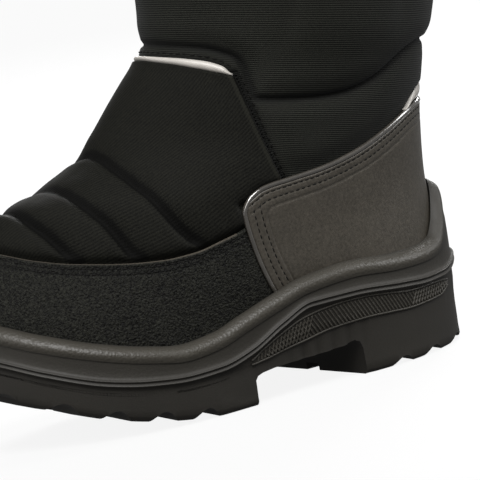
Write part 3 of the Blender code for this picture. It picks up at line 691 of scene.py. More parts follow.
def shaftHeight(turn, row):
    points = upperBase(turn, row)
    side = foldTurn(turn)
    toTop, toSides, toTape, quilt = toCounterTop(points), toSeam(points), toTapeHigh(points), toQuilt(points)
    nearer = np.minimum(toSides, toTape)
    rise = swell(toTop, shaft["soft"]) * swell(toSides, shaft["seamReach"]) * swell(toTape, shaft["soft"])
    rise *= 1 - shaft["quiltDepth"] * bell(quilt, shaft["quiltWidth"])
    collarGap = upperBase(turn, np.full(turn.shape, lastRow))[..., 2] - points[..., 2]
    rise *= 1 - 0.55 * bell(collarGap, shaft["collarFade"])
    height = shaft["puff"] * rise - shaft["hemDip"] * bell(collarGap - shaft["hemBand"], shaft["hemWidth"])
    height -= shaft["grooveDepth"] * bell(quilt, shaft["grooveWidth"]) * swell(nearer, 3 * mm)
    height -= shaft["seamDitch"] * bell(toSides, 1.6 * mm)
    for place, width, depth, start, rows, end in shaftFolds:
        valley = bell(side - place, width) * unit((row - start) / rows) * unit((end - row) / 1.5)
        height -= shaft["foldDepth"] * depth * valley
    height += shaft["uneven"] * softNoise(points, 0.028, 3) * rise
    atBack = np.minimum(side, backTapeEnd)
    inBack = (side < backTapeEnd) & (row < np.maximum(backTapeRow(atBack), counterTopRow(atBack)))
    height = np.where(inBack, np.minimum(height, shaft["tapeHeight"]), height)
    inVamp = ((side > seamTurn(row)) | (side > tapeStart)) & (row < tapeHighRow(side))
    height = np.where(inVamp, shaft["sunk"] * unit(nearer / shaft["sunkEdge"]), height)
    covered = row < np.where(side < joint, counterTopRow(np.minimum(side, counterCorner)), 0)
    return np.where(covered, shaft["sunk"] * unit(toTop / shaft["sunkEdge"]), height)


def shaftCreaseShade(turn, row):
    # shade in the seams and the quilting line
    points = upperBase(turn, row)
    seam, tape, quilt = toSeam(points), toTapeHigh(points), toQuilt(points)
    return (1.3 * bell(seam, 1.9 * mm) + 0.6 * bell(tape, 1.2 * mm)
            + 0.8 * bell(quilt, 1.6 * mm) * swell(np.minimum(seam, tape), 3 * mm))


def makeShaft():
    count = shaft["columns"]
    turns = np.arange(count) / count
    rows = np.concatenate((np.linspace(0, 2.4, shaft["hiddenRows"]), np.linspace(2.6, lastRow, shaft["rows"])))
    turn, row = np.meshgrid(turns, rows)
    outer = upperOffset(turn, row, shaftHeight(turn, row))
    lining = upperOffset(*np.meshgrid(turns, np.linspace(lastRow, 0, shaft["liningRows"])), -shaft["wall"])
    lining[-1, :, 2] = outer[0, :, 2]
    hem = []
    for share in (0.12, 0.35, 0.65, 0.88):
        ring = outer[-1] + (lining[0] - outer[-1]) * share
        ring[:, 2] += shaft["hemRise"] * math.sin(math.pi * share) ** 0.6
        hem.append(ring)
    rings = np.concatenate((outer, np.array(hem), lining))
    steps = np.linalg.norm(np.diff(rings, axis=0), axis=-1)
    along = np.vstack((np.zeros(count), np.cumsum(steps, axis=0)))
    along = along - along[len(rows) - 1]
    # one column more than the grid, as the sheet is closed
    across = np.broadcast_to(np.append(turns, 1) * shaft["round"], (len(rings), count + 1))
    flat = np.stack((across, np.column_stack((along, along[:, :1]))), axis=-1)
    uv = np.stack((flat[:-1, :-1], flat[1:, :-1], flat[1:, 1:], flat[:-1, 1:]), axis=2).reshape(-1, 2)
    final = (len(rings) - 1) * count
    bottom = [[final + i, i, (i + 1) % count, final + (i + 1) % count] for i in range(count)]
    # painted shade mark for the cloth, none on the hem and the lining
    creaseShade = np.zeros(rings.shape[:2])
    creaseShade[:len(rows)] = shaftCreaseShade(turn, row)
    piece = makeMesh("shaft_cloth", rings.reshape(-1, 3), gridFaces(len(rings), count, True) + bottom,
                     (shaftPaint, fleecePaint), sharp=60, uv=np.concatenate((uv, np.zeros((4 * count, 2)))),
                     marks={"creaseShade": creaseShade})
    slots = np.zeros(len(piece.data.polygons), dtype=np.int32)
    slots[(len(rows) + 3) * count:] = 1
    piece.data.polygons.foreach_set("material_index", slots)
    return settle(piece, "upper", "upper")


makeShaft()
print("shaft made")

# vamp
vamp = {
    "across": 252, "along": 192, "edge": 1.8 * mm, "edgeRound": 1.1 * mm, "puff": 3.0 * mm, "soft": 7.5 * mm,
    "guardSoft": 3.2 * mm, "under": -0.5 * mm, "tuck": 0.35, "uneven": 0.20 * mm, "covered": 0.2 * mm,
    "troughDepth": 3.4 * mm, "ankleReach": 6.6 * mm, "toeReach": 2.3 * mm, "shadeBandReach": 2.9 * mm,
    "shadeLineReach": 0.9 * mm,
}
# share of the padding's height along the ridge over the toes, by row
ridgeFill = tableCurve(((3.0, 1.0), (4.0, 1.0), (4.2, 0.77), (4.5, 0.50), (4.9, 0.36), (5.3, 0.36), (5.6, 0.45),
                        (5.9, 0.65), (6.1, 0.85), (6.35, 1.0), (9.0, 1.0)))


def panelGrid(rows, columns, reach, middle, low, high, edge):
    # turns and rows between two lines by row, low and high, and the edges at both sides of the middle
    half = 2 * closerEnds(columns) - 1
    turn, row = np.empty((rows, columns)), np.empty((rows, columns))
    for k, place in enumerate(closerEnds(rows)):
        line = middle + reach * half
        for _ in range(12):
            side = np.minimum(line, 1 - line) if middle else np.abs(line)
            row[k] = low(side) + (high(side) - low(side)) * place
            line = middle + half * (middle - edge(row[k]) if middle else edge(row[k]))
        turn[k] = line
    return turn, row


def ridgeFrame(points):
    # metres along the ridge from toe to ankle, and across it to the outer side
    rows = np.linspace(2.4, 8.4, 240)
    ridge = upperBase(0.5, rows)
    along = np.concatenate(((0,), np.cumsum(np.linalg.norm(np.diff(ridge, axis=0), axis=1))))
    tree = pointTree(ridge * (1, 0, 1))
    out = np.empty(points.shape[:-1] + (2,))
    for index in np.ndindex(points.shape[:-1]):
        x, y, z = points[index]
        spot, k, gap = tree.find((x, 0, z))
        out[index] = (-math.copysign(math.hypot(gap, y), y), along[k])
    return out


def vampHeight(turn, row):
    points = upperBase(turn, row)
    side = foldTurn(turn)
    toSides, toTape, toGuard = toSeam(points), toTapeLow(points), toGuardTop(points)
    toCounter = np.minimum(toCounterTop(points), toCounterFront(points))
    inCounter = (side < counterEdge(row)) & (row < counterTopRow(np.minimum(side, counterCorner)))
    under = (row < guardTopRow(side)) | inCounter
    rise = swell(toSides, vamp["soft"]) * swell(toTape, vamp["soft"])
    rise = rise * swell(toGuard, vamp["guardSoft"]) * swell(toCounter, vamp["guardSoft"])
    edge = roundEdge(np.minimum(toSides, toTape), vamp["edgeRound"])
    height = vamp["edge"] * edge + (vamp["puff"] - vamp["edge"]) * rise
    # painted shade in the seam's groove, and a painted highlight band just beside it on the vamp's raised edge
    creaseShade = bell(toSides, 0.7 * mm) - 0.5 * bell(toSides - 1.7 * mm, 0.8 * mm)
    for curve, distance, trough in zip(troughRows, toTroughs, vampTroughs):
        away = distance(points)
        above = row > curve(turn)
        gap = away / np.where(above, vamp["ankleReach"], vamp["toeReach"])
        fade = unit((turn - trough[0][0] + 0.02) / 0.03) * unit((trough[-1][0] - turn + 0.02) / 0.03)
        dip = 0.55 * bell(1.1 * gap, 1) + 0.45 * (1 - roundEdge(gap, 1.0))
        height -= vamp["troughDepth"] * dip * fade * swell(toGuard, 3.0 * mm)
        # painted shade: a wide dark band on the ankle side of each trough and a thin one on its toe side
        creaseShade += np.exp(-(away / np.where(above, vamp["shadeBandReach"], vamp["shadeLineReach"])) ** 3) * fade
    height *= 1 - (1 - ridgeFill(row)) * unit((side - 0.37) / 0.09)
    height += vamp["uneven"] * softNoise(points, 0.030, 5) * rise
    cover = swell(np.minimum(toGuard, toCounter), 1.6 * mm)
    return np.where(under, -vamp["covered"], height * cover), creaseShade


def makeVamp():
    turn, row = panelGrid(vamp["along"], vamp["across"], 0.25, 0.5,
                          lambda side: guardTopRow(side) - vamp["tuck"], tapeLowRow, seamTurn)
    height, creaseShade = vampHeight(turn, row)
    flat = ridgeFrame(upperBase(turn, row))
    piece = addPanel("vamp_cloth", turn, row, vamp["under"], height, vampPaint, flat, {"creaseShade": creaseShade},
                     sharp=60)
    return settle(piece, "upper")


makeVamp()
print("vamp made")

# mudguard and heel counter; each row of stitches lies in a furrow, its gap from the edge in mm
overlay = {
    "tuckRow": 0.3, "gap": 0.3 * mm, "guard": 1.5 * mm, "guardRows": 46, "guardColumns": 330,
    "guardEdge": 0.7 * mm, "guardBump": 0.16 * mm, "guardGap": 1.9 * mm, "guardSewn": (2.1, 4.2),
    "counter": 1.9 * mm, "counterRows": 116, "counterColumns": 350, "counterEdge": 0.8 * mm,
    "topSewn": (1.6, 4.4), "frontSewn": (3.4, 6.6), "lineDepth": 0.36 * mm, "lineWidth": 0.38 * mm,
    "lineFromTop": 7.4 * mm, "lineFromFront": 9.0 * mm, "cordWide": 1.05 * mm, "cordHigh": 1.2 * mm,
    "cordIn": 0.7 * mm, "cordSides": 12,
}


def guardEdge(row):
    edge = counterEdge(row)
    return edge + metricTurn(edge, row, overlay["guardGap"])


def tuckRow(side):
    return overlay["tuckRow"]


def guardFurrows(toTop):
    return sum(bell(toTop - gap * mm, 0.6 * mm) for gap in overlay["guardSewn"])


def guardHeight(turn, row):
    points = upperBase(turn, row)
    toTop = toGuardTop(points)
    edgeTurns = guardEdge(row)
    toFront = np.abs(foldTurn(turn) - edgeTurns) / metricTurn(edgeTurns, row, 1.0)
    height = overlay["guard"] * (0.25 + 0.75 * roundEdge(np.minimum(toTop, toFront), overlay["guardEdge"]))
    bump = softNoise(points, 0.0021, 11) + softNoise(points, 0.0032, 12)
    height += overlay["guardBump"] * bump * unit(toTop / (1.0 * mm)) + 0.12 * mm * softNoise(points, 0.02, 13)
    return height - 0.32 * mm * guardFurrows(toTop)


def makeGuard():
    turn, row = panelGrid(overlay["guardRows"], overlay["guardColumns"], 0.25, 0.5, tuckRow, guardTopRow,
                          guardEdge)
    toTop = toGuardTop(upperBase(turn, row))
    # band of painted highlight along the guard's top edge, ahead of the counter's corner
    rim = unit(1.20 - toTop / (0.45 * mm)) * (foldTurn(turn) > counterCorner)
    piece = addPanel("mudguard_hide", turn, row, overlay["gap"], overlay["gap"] + guardHeight(turn, row),
                     guardPaint, marks={"rim": rim, "furrowShade": guardFurrows(toTop)}, sharp=70)
    return settle(piece, "mudguard", "mudguard")


def counterHeight(turn, row):
    points = upperBase(turn, row)
    toTop, toFront = toCounterTop(points), toCounterFront(points)
    nearer = np.minimum(toTop, toFront)
    height = overlay["counter"] * (0.35 + 0.65 * roundEdge(nearer, overlay["counterEdge"]))
    corner = ((toTop / overlay["lineFromTop"]) ** -6 + (toFront / overlay["lineFromFront"]) ** -6) ** (-1 / 6)
    away = (corner - 1) * overlay["lineFromTop"]
    height -= overlay["lineDepth"] * bell(away, overlay["lineWidth"]) * unit((foldTurn(turn) - 0.035) / 0.02)
    for line, gaps in ((toTop, overlay["topSewn"]), (toFront, overlay["frontSewn"])):
        for gap in gaps:
            height -= 0.20 * mm * bell(line - gap * mm, 0.45 * mm) * (nearer > 1.2 * mm)
    return height + 0.08 * mm * softNoise(points, 0.012, 21)


def makeCounter():
    turn, row = panelGrid(overlay["counterRows"], overlay["counterColumns"], 0.13, 0, tuckRow, counterTopRow,
                          counterEdge)
    piece = addPanel("counter_skin", turn, row, overlay["gap"], overlay["gap"] + counterHeight(turn, row),
                     counterPaint, sharp=70)
    return settle(piece, "heel_counter", "heel_counter")


makeGuard()
makeCounter()
print("mudguard and counter made")

# sole
sole = {
    "columns": 432, "sideHeight": 0.045, "wallOut": 5.8 * mm,
    "heelSlim": 1.9 * mm, "planRow": 0.6, "stack": 2.6 * mm, "cupEase": 0.2 * mm,
    "breastAt": 0.059, "foreBlockAt": 0.1175, "archRoof": 0.0127, "archSlant": 0.022, "cutBelow": -0.010,
    "foreGrooves": 5, "foreLugAt": 0.1415, "foreLugPitch": 0.0184, "lugDepth": 4.2 * mm,
    "heelGrooves": 3, "heelEndLug": 0.012, "heelLugPitch": 0.0175, "heelLugDepth": 3.2 * mm,
    "groove": 8.0 * mm, "grooveLean": 0.18, "channelWidth": 9.0 * mm, "channelDepth": 3.0 * mm,
    "channelToeEnd": 0.90, "fluteDepth": 0.55 * mm, "flutePitch": 0.033, "underBand": 0.35 * mm,
}
sideRows = (
    (0, 0, 0.81, 1.52), (0.02, 0, 0.79, 1.5), (0.036, 0, 0.76, 1.38), (0.06, 0, 0.71, 1.16),
    (0.085, 0, 0.69, 1.03), (0.125, 0, 0.69, 1), (0.19, 0, 0.72, 1.01), (0.3, 0, 0.775, 1.06),
    (0.39, 0, 0.78, 1.03), (0.455, 0, 0.67, 0.95), (0.53, 0, 0.5, 0.84), (0.59, 0, 0.43, 0.75),
    (0.65, 0.03, 0.42, 0.72), (0.72, 0.09, 0.455, 0.78), (0.8, 0.19, 0.54, 0.89), (0.89, 0.36, 0.72, 1.06),
    (0.96, 0.5, 0.9, 1.22), (1, 0.56, 0.98, 1.28),
)
# band of slanting ribs: place along the sole from the heel, low and high edge in mm over the floor
bandRows = (
    (0.055, 25, 27), (0.091, 22.6, 28), (0.17, 22.2, 28.6), (0.223, 23, 30.4), (0.275, 23.6, 31.8),
    (0.314, 23.4, 32), (0.353, 22.9, 31.5), (0.406, 21.1, 29.8), (0.446, 19.9, 26.9), (0.502, 18, 21.6),
    (0.53, 17.4, 18.6),
)

# line (0 floor, 1 ledge, 2 rim), height over it and reach outwards in mm, share of the grain and of its painted
# highlight
soleProfile = (
    (0, 0, 2.2, 0.1), (0, 0.35, 3.2, 0.1), (0, 1, 3.9, 0.1), (0, 1.9, 4.4, 0.1), (0.15, 0, 4.7, 0.1),
    (0.3, 0, 4.9, 0.1), (0.45, 0, 5.05, 0.1), (0.6, 0, 5.15, 0.1), (0.75, 0, 5.2, 0.1), (1, -5.2, 5.2, 0.1),
    (1, -4, 5.2, 0.1), (1, -3.1, 5.2, 0.1), (1, -2.5, 5.3, 0.1), (1, -2, 5.7, 0.1), (1, -1.65, 6.15, 0),
    (1, -1.3, 6.6, 0.3), (1, -0.95, 6.85, 0.6), (1, -0.6, 6.7, 0.2), (1, -0.3, 6.4, 0), (1, 0, 6.25, 0),
    (1, 0.3, 6.3, 0), (1, 0.6, 6.6, 0.2), (1, 0.95, 6.8, 0.6), (1, 1.25, 6.6, 0.1), (1, 1.55, 6.05, 0.2),
    (1, 1.95, 5.7, 0.3), (1, 2.8, 5.4, 0.3), (1.35, 0, 5.3, 0.3), (1.55, -0.6, 5.3, 0.3),
    (1.75, -1.6, 5.4, 0.4), (2, -6.6, 5.7, 0.6), (2, -5.4, 5.95, 0.8), (2, -4.4, 6, 1), (2, -3.5, 5.8, 1),
    (2, -2.6, 5.3, 1), (2, -1.8, 4.5, 1), (2, -1.1, 3.5, 0.9), (2, -0.5, 2.4, 0.7), (2, -0.2, 1.5, 0.5),
    (2, 0, 0.5, 0.3),
)
# corners of the arch's cut: x from the heel breast or the fore block and z over the roof, in mm,
# and the share of the slant
archRows = (
    ("breast", -0.4, -1.5, 1), ("breast", -1.5, 1.5, 1), ("breast", -4, 2.6, 0.8), ("breast", -10, 1.6, 0.5),
    ("breast", -24, 0.8, 0.2), ("fore", 10, 0.6, 0), ("fore", 4, 0, 0), ("fore", 1.5, -0.8, 0),
    ("fore", 0.3, -2.4, 0),
)
band = {"pitch": 1.75 * mm, "least": 1.2 * mm, "leanOver": 9 * mm}
heelEnd = sole["stack"] + sole["wallOut"]
soleBack = last["heelAt"] + heelEnd
soleLength = last["length"] + 2 * heelEnd
floorCurve, ledgeCurve, rimCurve = (tableCurve(sideRows, column) for column in (1, 2, 3))
bandLow, bandHigh = tableCurve(bandRows, 1), tableCurve(bandRows, 2)


def solePlace(x):
    return unit((heelEnd - (np.asarray(x) - last["heelAt"])) / soleLength)


def floorHeight(x):
    return floorCurve(solePlace(x)) * sole["sideHeight"]


def bedHeight(x):
    return footbed(footPlace(x))


def rimRow(turns):
    low, high = np.zeros(len(turns)), np.full(len(turns), 5.0)
    for _ in range(30):
        middle = (low + high) / 2
        point = upperBase(turns, middle)
        over = point[:, 2] > rimCurve(solePlace(point[:, 0])) * sole["sideHeight"]
        high, low = np.where(over, middle, high), np.where(over, low, middle)
    return (low + high) / 2


def planNormals(points):
    along = np.roll(points, -1, axis=0) - np.roll(points, 1, axis=0)
    out = unitVectors(np.column_stack((-along[:, 1], along[:, 0])))
    facing = ((points - points.mean(axis=0)) * out).sum(axis=1)
    return out * np.where(facing.mean() < 0, -1, 1)


def soleWall(turns, line, over, reach):
    # ring of the sole's side, for one row of the profile; over and reach may differ round the ring
    low = upperBase(turns, sole["planRow"])[:, :2]
    high = upperBase(turns, rimRow(turns))
    out = planNormals(low)
    place = solePlace(low[:, 0] + out[:, 0] * sole["wallOut"])
    lines = np.array([curve(place) * sole["sideHeight"] for curve in (floorCurve, ledgeCurve, rimCurve)])
    below = min(int(line), 1)
    height = lines[below] + (lines[below + 1] - lines[below]) * (line - below) + over
    share = unit((height - last["ballBed"]) / np.maximum(high[:, 2] - last["ballBed"], 1 * mm))[:, None]
    plan = low * (1 - share) + high[:, :2] * share + out * (sole["stack"] + np.asarray(reach))[..., None]
    return np.column_stack((plan, height)), place, height


def closeRing(points, faces, ring, heightAt, steps=8):
    # fills a ring with rows of faces across the foot, at the heights that heightAt gives
    half = len(ring) // 2
    lines = []
    for i in range(1, half):
        first, end = ring[i], ring[len(ring) - i]
        line = [first]
        for k in range(1, steps):
            point = points[first] + (points[end] - points[first]) * k / steps
            points.append(np.array((point[0], point[1], heightAt(point[0]))))
            line.append(len(points) - 1)
        lines.append(line + [end])
    for before, after in zip(lines, lines[1:]):
        faces += [(before[k], before[k + 1], after[k + 1], after[k]) for k in range(steps)]
    for tip, line in ((ring[0], lines[0]), (ring[half], lines[-1])):
        faces += [(tip, line[k], line[k + 1]) for k in range(steps)]


def ringBody(rings, *closings):
    # points and faces of a closed body of rings round the foot; closings: start of the ring, its heights
    points, count = [point for ring in rings for point in ring], len(rings[0])
    faces = gridFaces(len(rings), count, True)
    for at, heightAt in closings:
        closeRing(points, faces, range(at * count, (at + 1) * count), heightAt)
    return points, faces


def flutes(place, height):
    # soft upright waves under the band, over the arch
    where = unit((place - 0.27) / 0.02) * unit((0.47 - place) / 0.04)
    low = unit((bandLow(place) * mm - 1.5 * mm - height) / (2 * mm))
    return -sole["fluteDepth"] * where * low * (1 - np.cos(place * 2 * math.pi / sole["flutePitch"]))


def makeSoleBody():
    turns = np.arange(sole["columns"]) / sole["columns"]
    rings, grainAndHighlightRings = [], []
    for line, over, reach, grain in soleProfile:
        ring, place, height = soleWall(turns, line, over * mm, np.full(len(turns), reach * mm))
        low, high = bandLow(place) * mm, bandHigh(place) * mm
        if line <= 1.0:
            inBand = (height > low) & (height < high) & (place < 0.53) & (place > 0.055)
            push = flutes(place, height)
            underBand = (place < 0.60) & (height < low) & (height > 3 * mm)
            push = np.where(underBand, push - sole["underBand"], push)
            ring, place, height = soleWall(turns, line, over * mm, reach * mm + np.where(inBand, 0, push))
        elif line > 1.5:
            slim = unit((0.07 - place) / 0.06) * unit((line - 1.5) / 0.4) * min(1.0, reach / 3.5)
            ring, place, height = soleWall(turns, line, over * mm, reach * mm - sole["heelSlim"] * slim)
        rings.append(ring)
        # duller round the heel: less pebble grain, less painted highlight, and rougher
        grainAndHighlightRings.append(grain * (1 - 0.6 * unit((0.13 - place) / 0.08) * (line > 1.5)))
    rimRows = rimRow(turns)
    inner = [(1.0, sole["stack"] - 0.5 * mm, 0.2)]
    inner += [(share, sole["stack"] + sole["cupEase"], 0.0) for share in (0.8, 0.5, 0.2, 0.06)]
    for share, out, grain in inner:
        rings.append(upperOffset(turns, rimRows * share, out))
        grainAndHighlightRings.append(np.full(len(turns), grain))
    bed = rings[-1].copy()
    bed[:, 2] = bedHeight(bed[:, 0]) - overlay["gap"]
    rings.append(bed)
    grainAndHighlightRings.append(np.zeros(len(turns)))
    points, faces = ringBody(rings, (len(rings) - 1, lambda x: bedHeight(x) - overlay["gap"]), (0, floorHeight))
    grain = np.concatenate(grainAndHighlightRings)
    grain = np.append(grain, np.full(len(points) - len(grain), 0.2))
    return makeMesh("outsole_moulding", points, faces, (solePaint,), tight=True, sharp=35,
                    marks={"grain": grain})


def addPrism(points, faces, outline, half, slant=0.0):
    # a prism across the sole; slant moves its inner end forward, by the share of each corner
    start, count = len(points), len(outline)
    for side in (0, 1):
        points += [(x - slant * side * share, half * (2 * side - 1), z) for x, z, share in outline]
    ring = [start + i for i in range(count)]
    faces += [ring, [corner + count for corner in ring[::-1]]]
    faces += [[a, a + count, b + count, b] for a, b in zip(ring, ring[1:] + ring[:1])]


def grooveOutline(along, depth, below):
    # a rounded groove that leans to the heel, in the sole's own slope
    x, wide = soleBack - along, sole["groove"]
    level = float(floorHeight(x))
    slope = float(floorHeight(x - 2 * mm) - floorHeight(x + 2 * mm)) / (4 * mm)
    outline = []
    for share in np.linspace(-1, 1, 15):
        bend = 0.5 * (1 + math.cos(math.pi * share)) if abs(share) < 1 else 0
        run = (share + sole["grooveLean"] * bend) * wide * 0.85
        outline.append((x + run, level - 0.4 * mm + (depth + 0.4 * mm) * bend ** 0.7 - run * slope, 0))
    return outline + [(x + wide, level + below, 0), (x - wide, level + below, 0)]


def cutLugs(body):
    below = sole["cutBelow"]
    edges = {"breast": soleBack - sole["breastAt"], "fore": soleBack - sole["foreBlockAt"]}
    arch = [(edges["breast"], below, 1), (edges["breast"], 0.0, 1)]
    arch += [(edges[edge] + x * mm, sole["archRoof"] + z * mm, share) for edge, x, z, share in archRows]
    arch += [(edges["fore"], 0.0, 0), (edges["fore"], below, 0)]
    points, faces = [], []
    addPrism(points, faces, arch, last["ballWidth"], sole["archSlant"])
    grooves = [(sole["foreLugAt"] + sole["foreLugPitch"] * k, sole["lugDepth"])
               for k in range(sole["foreGrooves"])]
    grooves += [(sole["breastAt"] - sole["heelEndLug"] - sole["heelLugPitch"] * k, sole["heelLugDepth"])
                for k in range(sole["heelGrooves"])]
    for along, depth in grooves:
        addPrism(points, faces, grooveOutline(along, depth, below), last["ballWidth"])
    toeEnd, end = soleBack - sole["channelToeEnd"] * soleLength, soleBack - sole["heelEndLug"]
    channel = [(x, float(floorHeight(x)) + sole["channelDepth"], 0) for x in np.linspace(end, toeEnd, 24)]
    channel += [(toeEnd, below, 0), (end, below, 0)]
    channelPoints, channelFaces = [], []
    addPrism(channelPoints, channelFaces, channel, sole["channelWidth"] / 2)
    tools = [makeMesh("lugCutter", points, faces, tight=True),
             makeMesh("channelCutter", channelPoints, channelFaces, tight=True)]
    for tool in tools:
        modifier = body.modifiers.new(tool.name, "BOOLEAN")
        modifier.operation, modifier.solver, modifier.object = "DIFFERENCE", "MANIFOLD", tool
    result = bpy.data.meshes.new_from_object(body.evaluated_get(bpy.context.evaluated_depsgraph_get()))
    body.modifiers.clear()
    body.data = result
    for tool in tools:
        bpy.data.objects.remove(tool)
    result.shade_smooth()
    result.set_sharp_from_angle(angle=math.radians(38))
    return body


soleBody = cutLugs(makeSoleBody())
settle(soleBody, "outsole", "outsole")
print("sole made,", len(soleBody.data.polygons), "faces")


# node trees for what repeats
class Tree(Builder):
    # a Geometry Nodes tree with named inputs
    prefix = "GeometryNode"

    def __init__(self, name, **inputs):
        self.tree = bpy.data.node_groups.new(name, "GeometryNodeTree")
        sockets = self.tree.interface
        self.ids = {key: sockets.new_socket(key, in_out="INPUT", socket_type="NodeSocket" + kind).identifier
                    for key, kind in {"Geometry": "Geometry", **inputs}.items()}
        sockets.new_socket("Geometry", in_out="OUTPUT", socket_type="NodeSocketGeometry")
        start = self.tree.nodes.new("NodeGroupInput")
        self.given = {key: Value(self, start.outputs[key]) for key in self.ids}

    def finish(self, geometry, paint):
        real = self.add("RealizeInstances", {"Geometry": geometry})
        smooth = self.add("SetShadeSmooth", {"Geometry": real})
        coloured = self.add("SetMaterial", {"Geometry": smooth, "Material": paint})
        self.tree.links.new(coloured.socket, self.tree.nodes.new("NodeGroupOutput").inputs[0])
        return self

    def run(self, name, source, **values):
        holder = addObject(name, source)
        modifier = holder.modifiers.new(self.tree.name, "NODES")
        modifier.node_group = self.tree
        for key, value in values.items():
            modifier[self.ids[key]] = value
        mesh = bpy.data.meshes.new_from_object(holder.evaluated_get(bpy.context.evaluated_depsgraph_get()))
        mesh.name = name
        bpy.data.objects.remove(holder)
        return addObject(name, mesh)


def stitchTree():
    tree = Tree("stitchRow", Pitch="Float", Length="Float", Width="Float", Height="Float", Seed="Int",
                Thread="Material")
    given = tree.given
    curve = tree.add("MeshToCurve", {"Mesh": given["Geometry"]})
    stops = tree.add("ResampleCurve", {"Curve": curve, "Length": given["Pitch"]}, mode="LENGTH")
    ball = tree.add("MeshUVSphere", {"Segments": 8, "Rings": 5, "Radius": 0.5})
    size = tree.add("ShaderNodeCombineXYZ", {"X": given["Length"], "Y": given["Width"], "Z": given["Height"]})
    bean = tree.add("Transform", {"Geometry": ball, "Scale": size})
    out = tree.add("InputNamedAttribute", {"Name": "out"}, data_type="FLOAT_VECTOR")
    along = tree.add("FunctionNodeAlignRotationToVector", {"Vector": tree.add("InputTangent")}, axis="X")
    turned = tree.add("FunctionNodeAlignRotationToVector", {"Rotation": along, "Vector": out}, axis="Z",
                      pivot_axis="X")
    chance = tree.add("FunctionNodeRandomValue", {"Min": (0.82, 0.85, 0.8), "Max": (1.08, 1.15, 1.2),
                                                  "Seed": given["Seed"]}, data_type="FLOAT_VECTOR")
    rows = tree.add("InstanceOnPoints", {"Points": stops, "Instance": bean, "Rotation": turned,
                                         "Scale": chance})
    return tree.finish(rows, given["Thread"])


def ribTree():
    tree = Tree("ribBars", Radius="Float", Sides="Int", Skin="Material")
    given = tree.given
    curve = tree.add("MeshToCurve", {"Mesh": given["Geometry"]})
    ring = tree.add("CurvePrimitiveCircle", {"Resolution": given["Sides"], "Radius": given["Radius"]})
    bars = tree.add("CurveToMesh", {"Curve": curve, "Profile Curve": ring, "Fill Caps": True})
    return tree.finish(bars, given["Skin"])


def pathMesh(name, paths):
    # paths: lists of points with their outward directions
    mesh = bpy.data.meshes.new(name)
    points, outs, edges = [], [], []
    for line, normals in paths:
        edges += [(len(points) + k, len(points) + k + 1) for k in range(len(line) - 1)]
        points += line.tolist()
        outs += normals.tolist()
    mesh.from_pydata(points, edges, [])
    addMark(mesh, "out", outs, "FLOAT_VECTOR")
    return mesh


stitches, ribs = stitchTree(), ribTree()


def toSurface(points, turn, row):
    # turn and row of the upper's base surface nearest to points, from a first guess
    for _ in range(6):
        around = (upperBase(turn + 0.001, row) - upperBase(turn - 0.001, row)) / 0.002
        upward = (upperBase(turn, row + 0.01) - upperBase(turn, row - 0.01)) / 0.02
        gap = points - upperBase(turn, row)
        aa, bb, ab = (around * around).sum(-1), (upward * upward).sum(-1), (around * upward).sum(-1)
        ga, gb = (gap * around).sum(-1), (gap * upward).sum(-1)
        under = aa * bb - ab ** 2
        turn = turn + (ga * bb - gb * ab) / under
        row = row + (gb * aa - ga * ab) / under
    return turn, row


def sewLine(turn, row, gap, heightAt, keepAt=None):
    # the line on the upper moved gap mm sideways, to the right of its way, at the height that heightAt gives
    base, out = upperBase(turn, row), upperNormal(turn, row)
    away = unitVectors(np.cross(out, np.gradient(base, axis=0)))
    turn, row = toSurface(base - away * gap * mm, turn, row)
    keep = keepAt(turn, row) if keepAt else slice(None)
    height = heightAt(turn, row)[keep]
    turn, row = turn[keep], row[keep]
    paths = []
    for way in (turn, 1 - turn):
        out = upperNormal(way, row)
        paths.append((upperBase(way, row) + out * height[:, None], out))
    return paths


stitchLook = {"pitch": 2.75, "length": 2.0, "width": 0.75, "height": 0.50, "lift": 0.1 * mm}


def addStitches(name, slotName, paths, seed, **changes):
    look = {**stitchLook, **changes}
    sizes = {key.title(): look[key] * mm for key in ("pitch", "length", "width", "height")}
    return settle(stitches.run(name, pathMesh(name, paths), Seed=seed, Thread=threadPaint, **sizes), slotName)


def sewGuard():
    turn = np.linspace(counterCorner, 0.5, 400)
    paths = []
    for gap in overlay["guardSewn"]:
        paths += sewLine(turn, guardTopRow(turn), -gap,
                         lambda turn, row: overlay["gap"] + guardHeight(turn, row) + 0.05 * mm,
                         lambda turn, row: foldTurn(turn) > guardEdge(row) + 0.004)
    addStitches("mudguard_stitches", "mudguard", paths, 3, width=0.95, height=0.60)


def sewCounter():
    def height(turn, row):
        return overlay["gap"] + counterHeight(turn, row) - 0.02 * mm

    turn, rows = np.linspace(counterCorner, 0.0, 500), np.linspace(1.6, 3.95, 260)
    paths = []
    for gap in overlay["topSewn"]:
        paths += sewLine(turn, counterTopRow(turn), gap, height,
                         lambda turn, row: (toCounterFront(upperBase(turn, row)) > 3.2 * mm) & (turn > 0.001))
    for gap in overlay["frontSewn"]:
        paths += sewLine(counterEdge(rows), rows, gap, height,
                         lambda turn, row: toCounterTop(upperBase(turn, row)) > 4.2 * mm)
    addStitches("counter_stitches", "heel_counter", paths, 5, length=2.25, width=0.75, height=0.40)


def sewCloth():
    def height(turn, row):
        return shaftHeight(turn, row) + stitchLook["lift"]

    turn, rows = np.linspace(0.352, 0.5, 200), np.linspace(4.5, 7.62, 260)
    paths = sewLine(turn, tapeHighRow(turn), 1.9, height) + sewLine(seamTurn(rows), rows, 2.3, height)
    addStitches("cloth_stitches", "upper", paths, 7, pitch=3.0, length=2.3, width=0.6)
    turn = np.linspace(0, 1, 700)
    row = np.full(turn.shape, lastRow - 0.01)
    row = row - metricRow(turn, row, 10.5 * mm)
    paths = [(upperOffset(turn, row, height(turn, row)), upperNormal(turn, row))]
    addStitches("collar_stitches", "upper", paths, 9)


sewGuard()
sewCounter()
sewCloth()
print("stitches made")


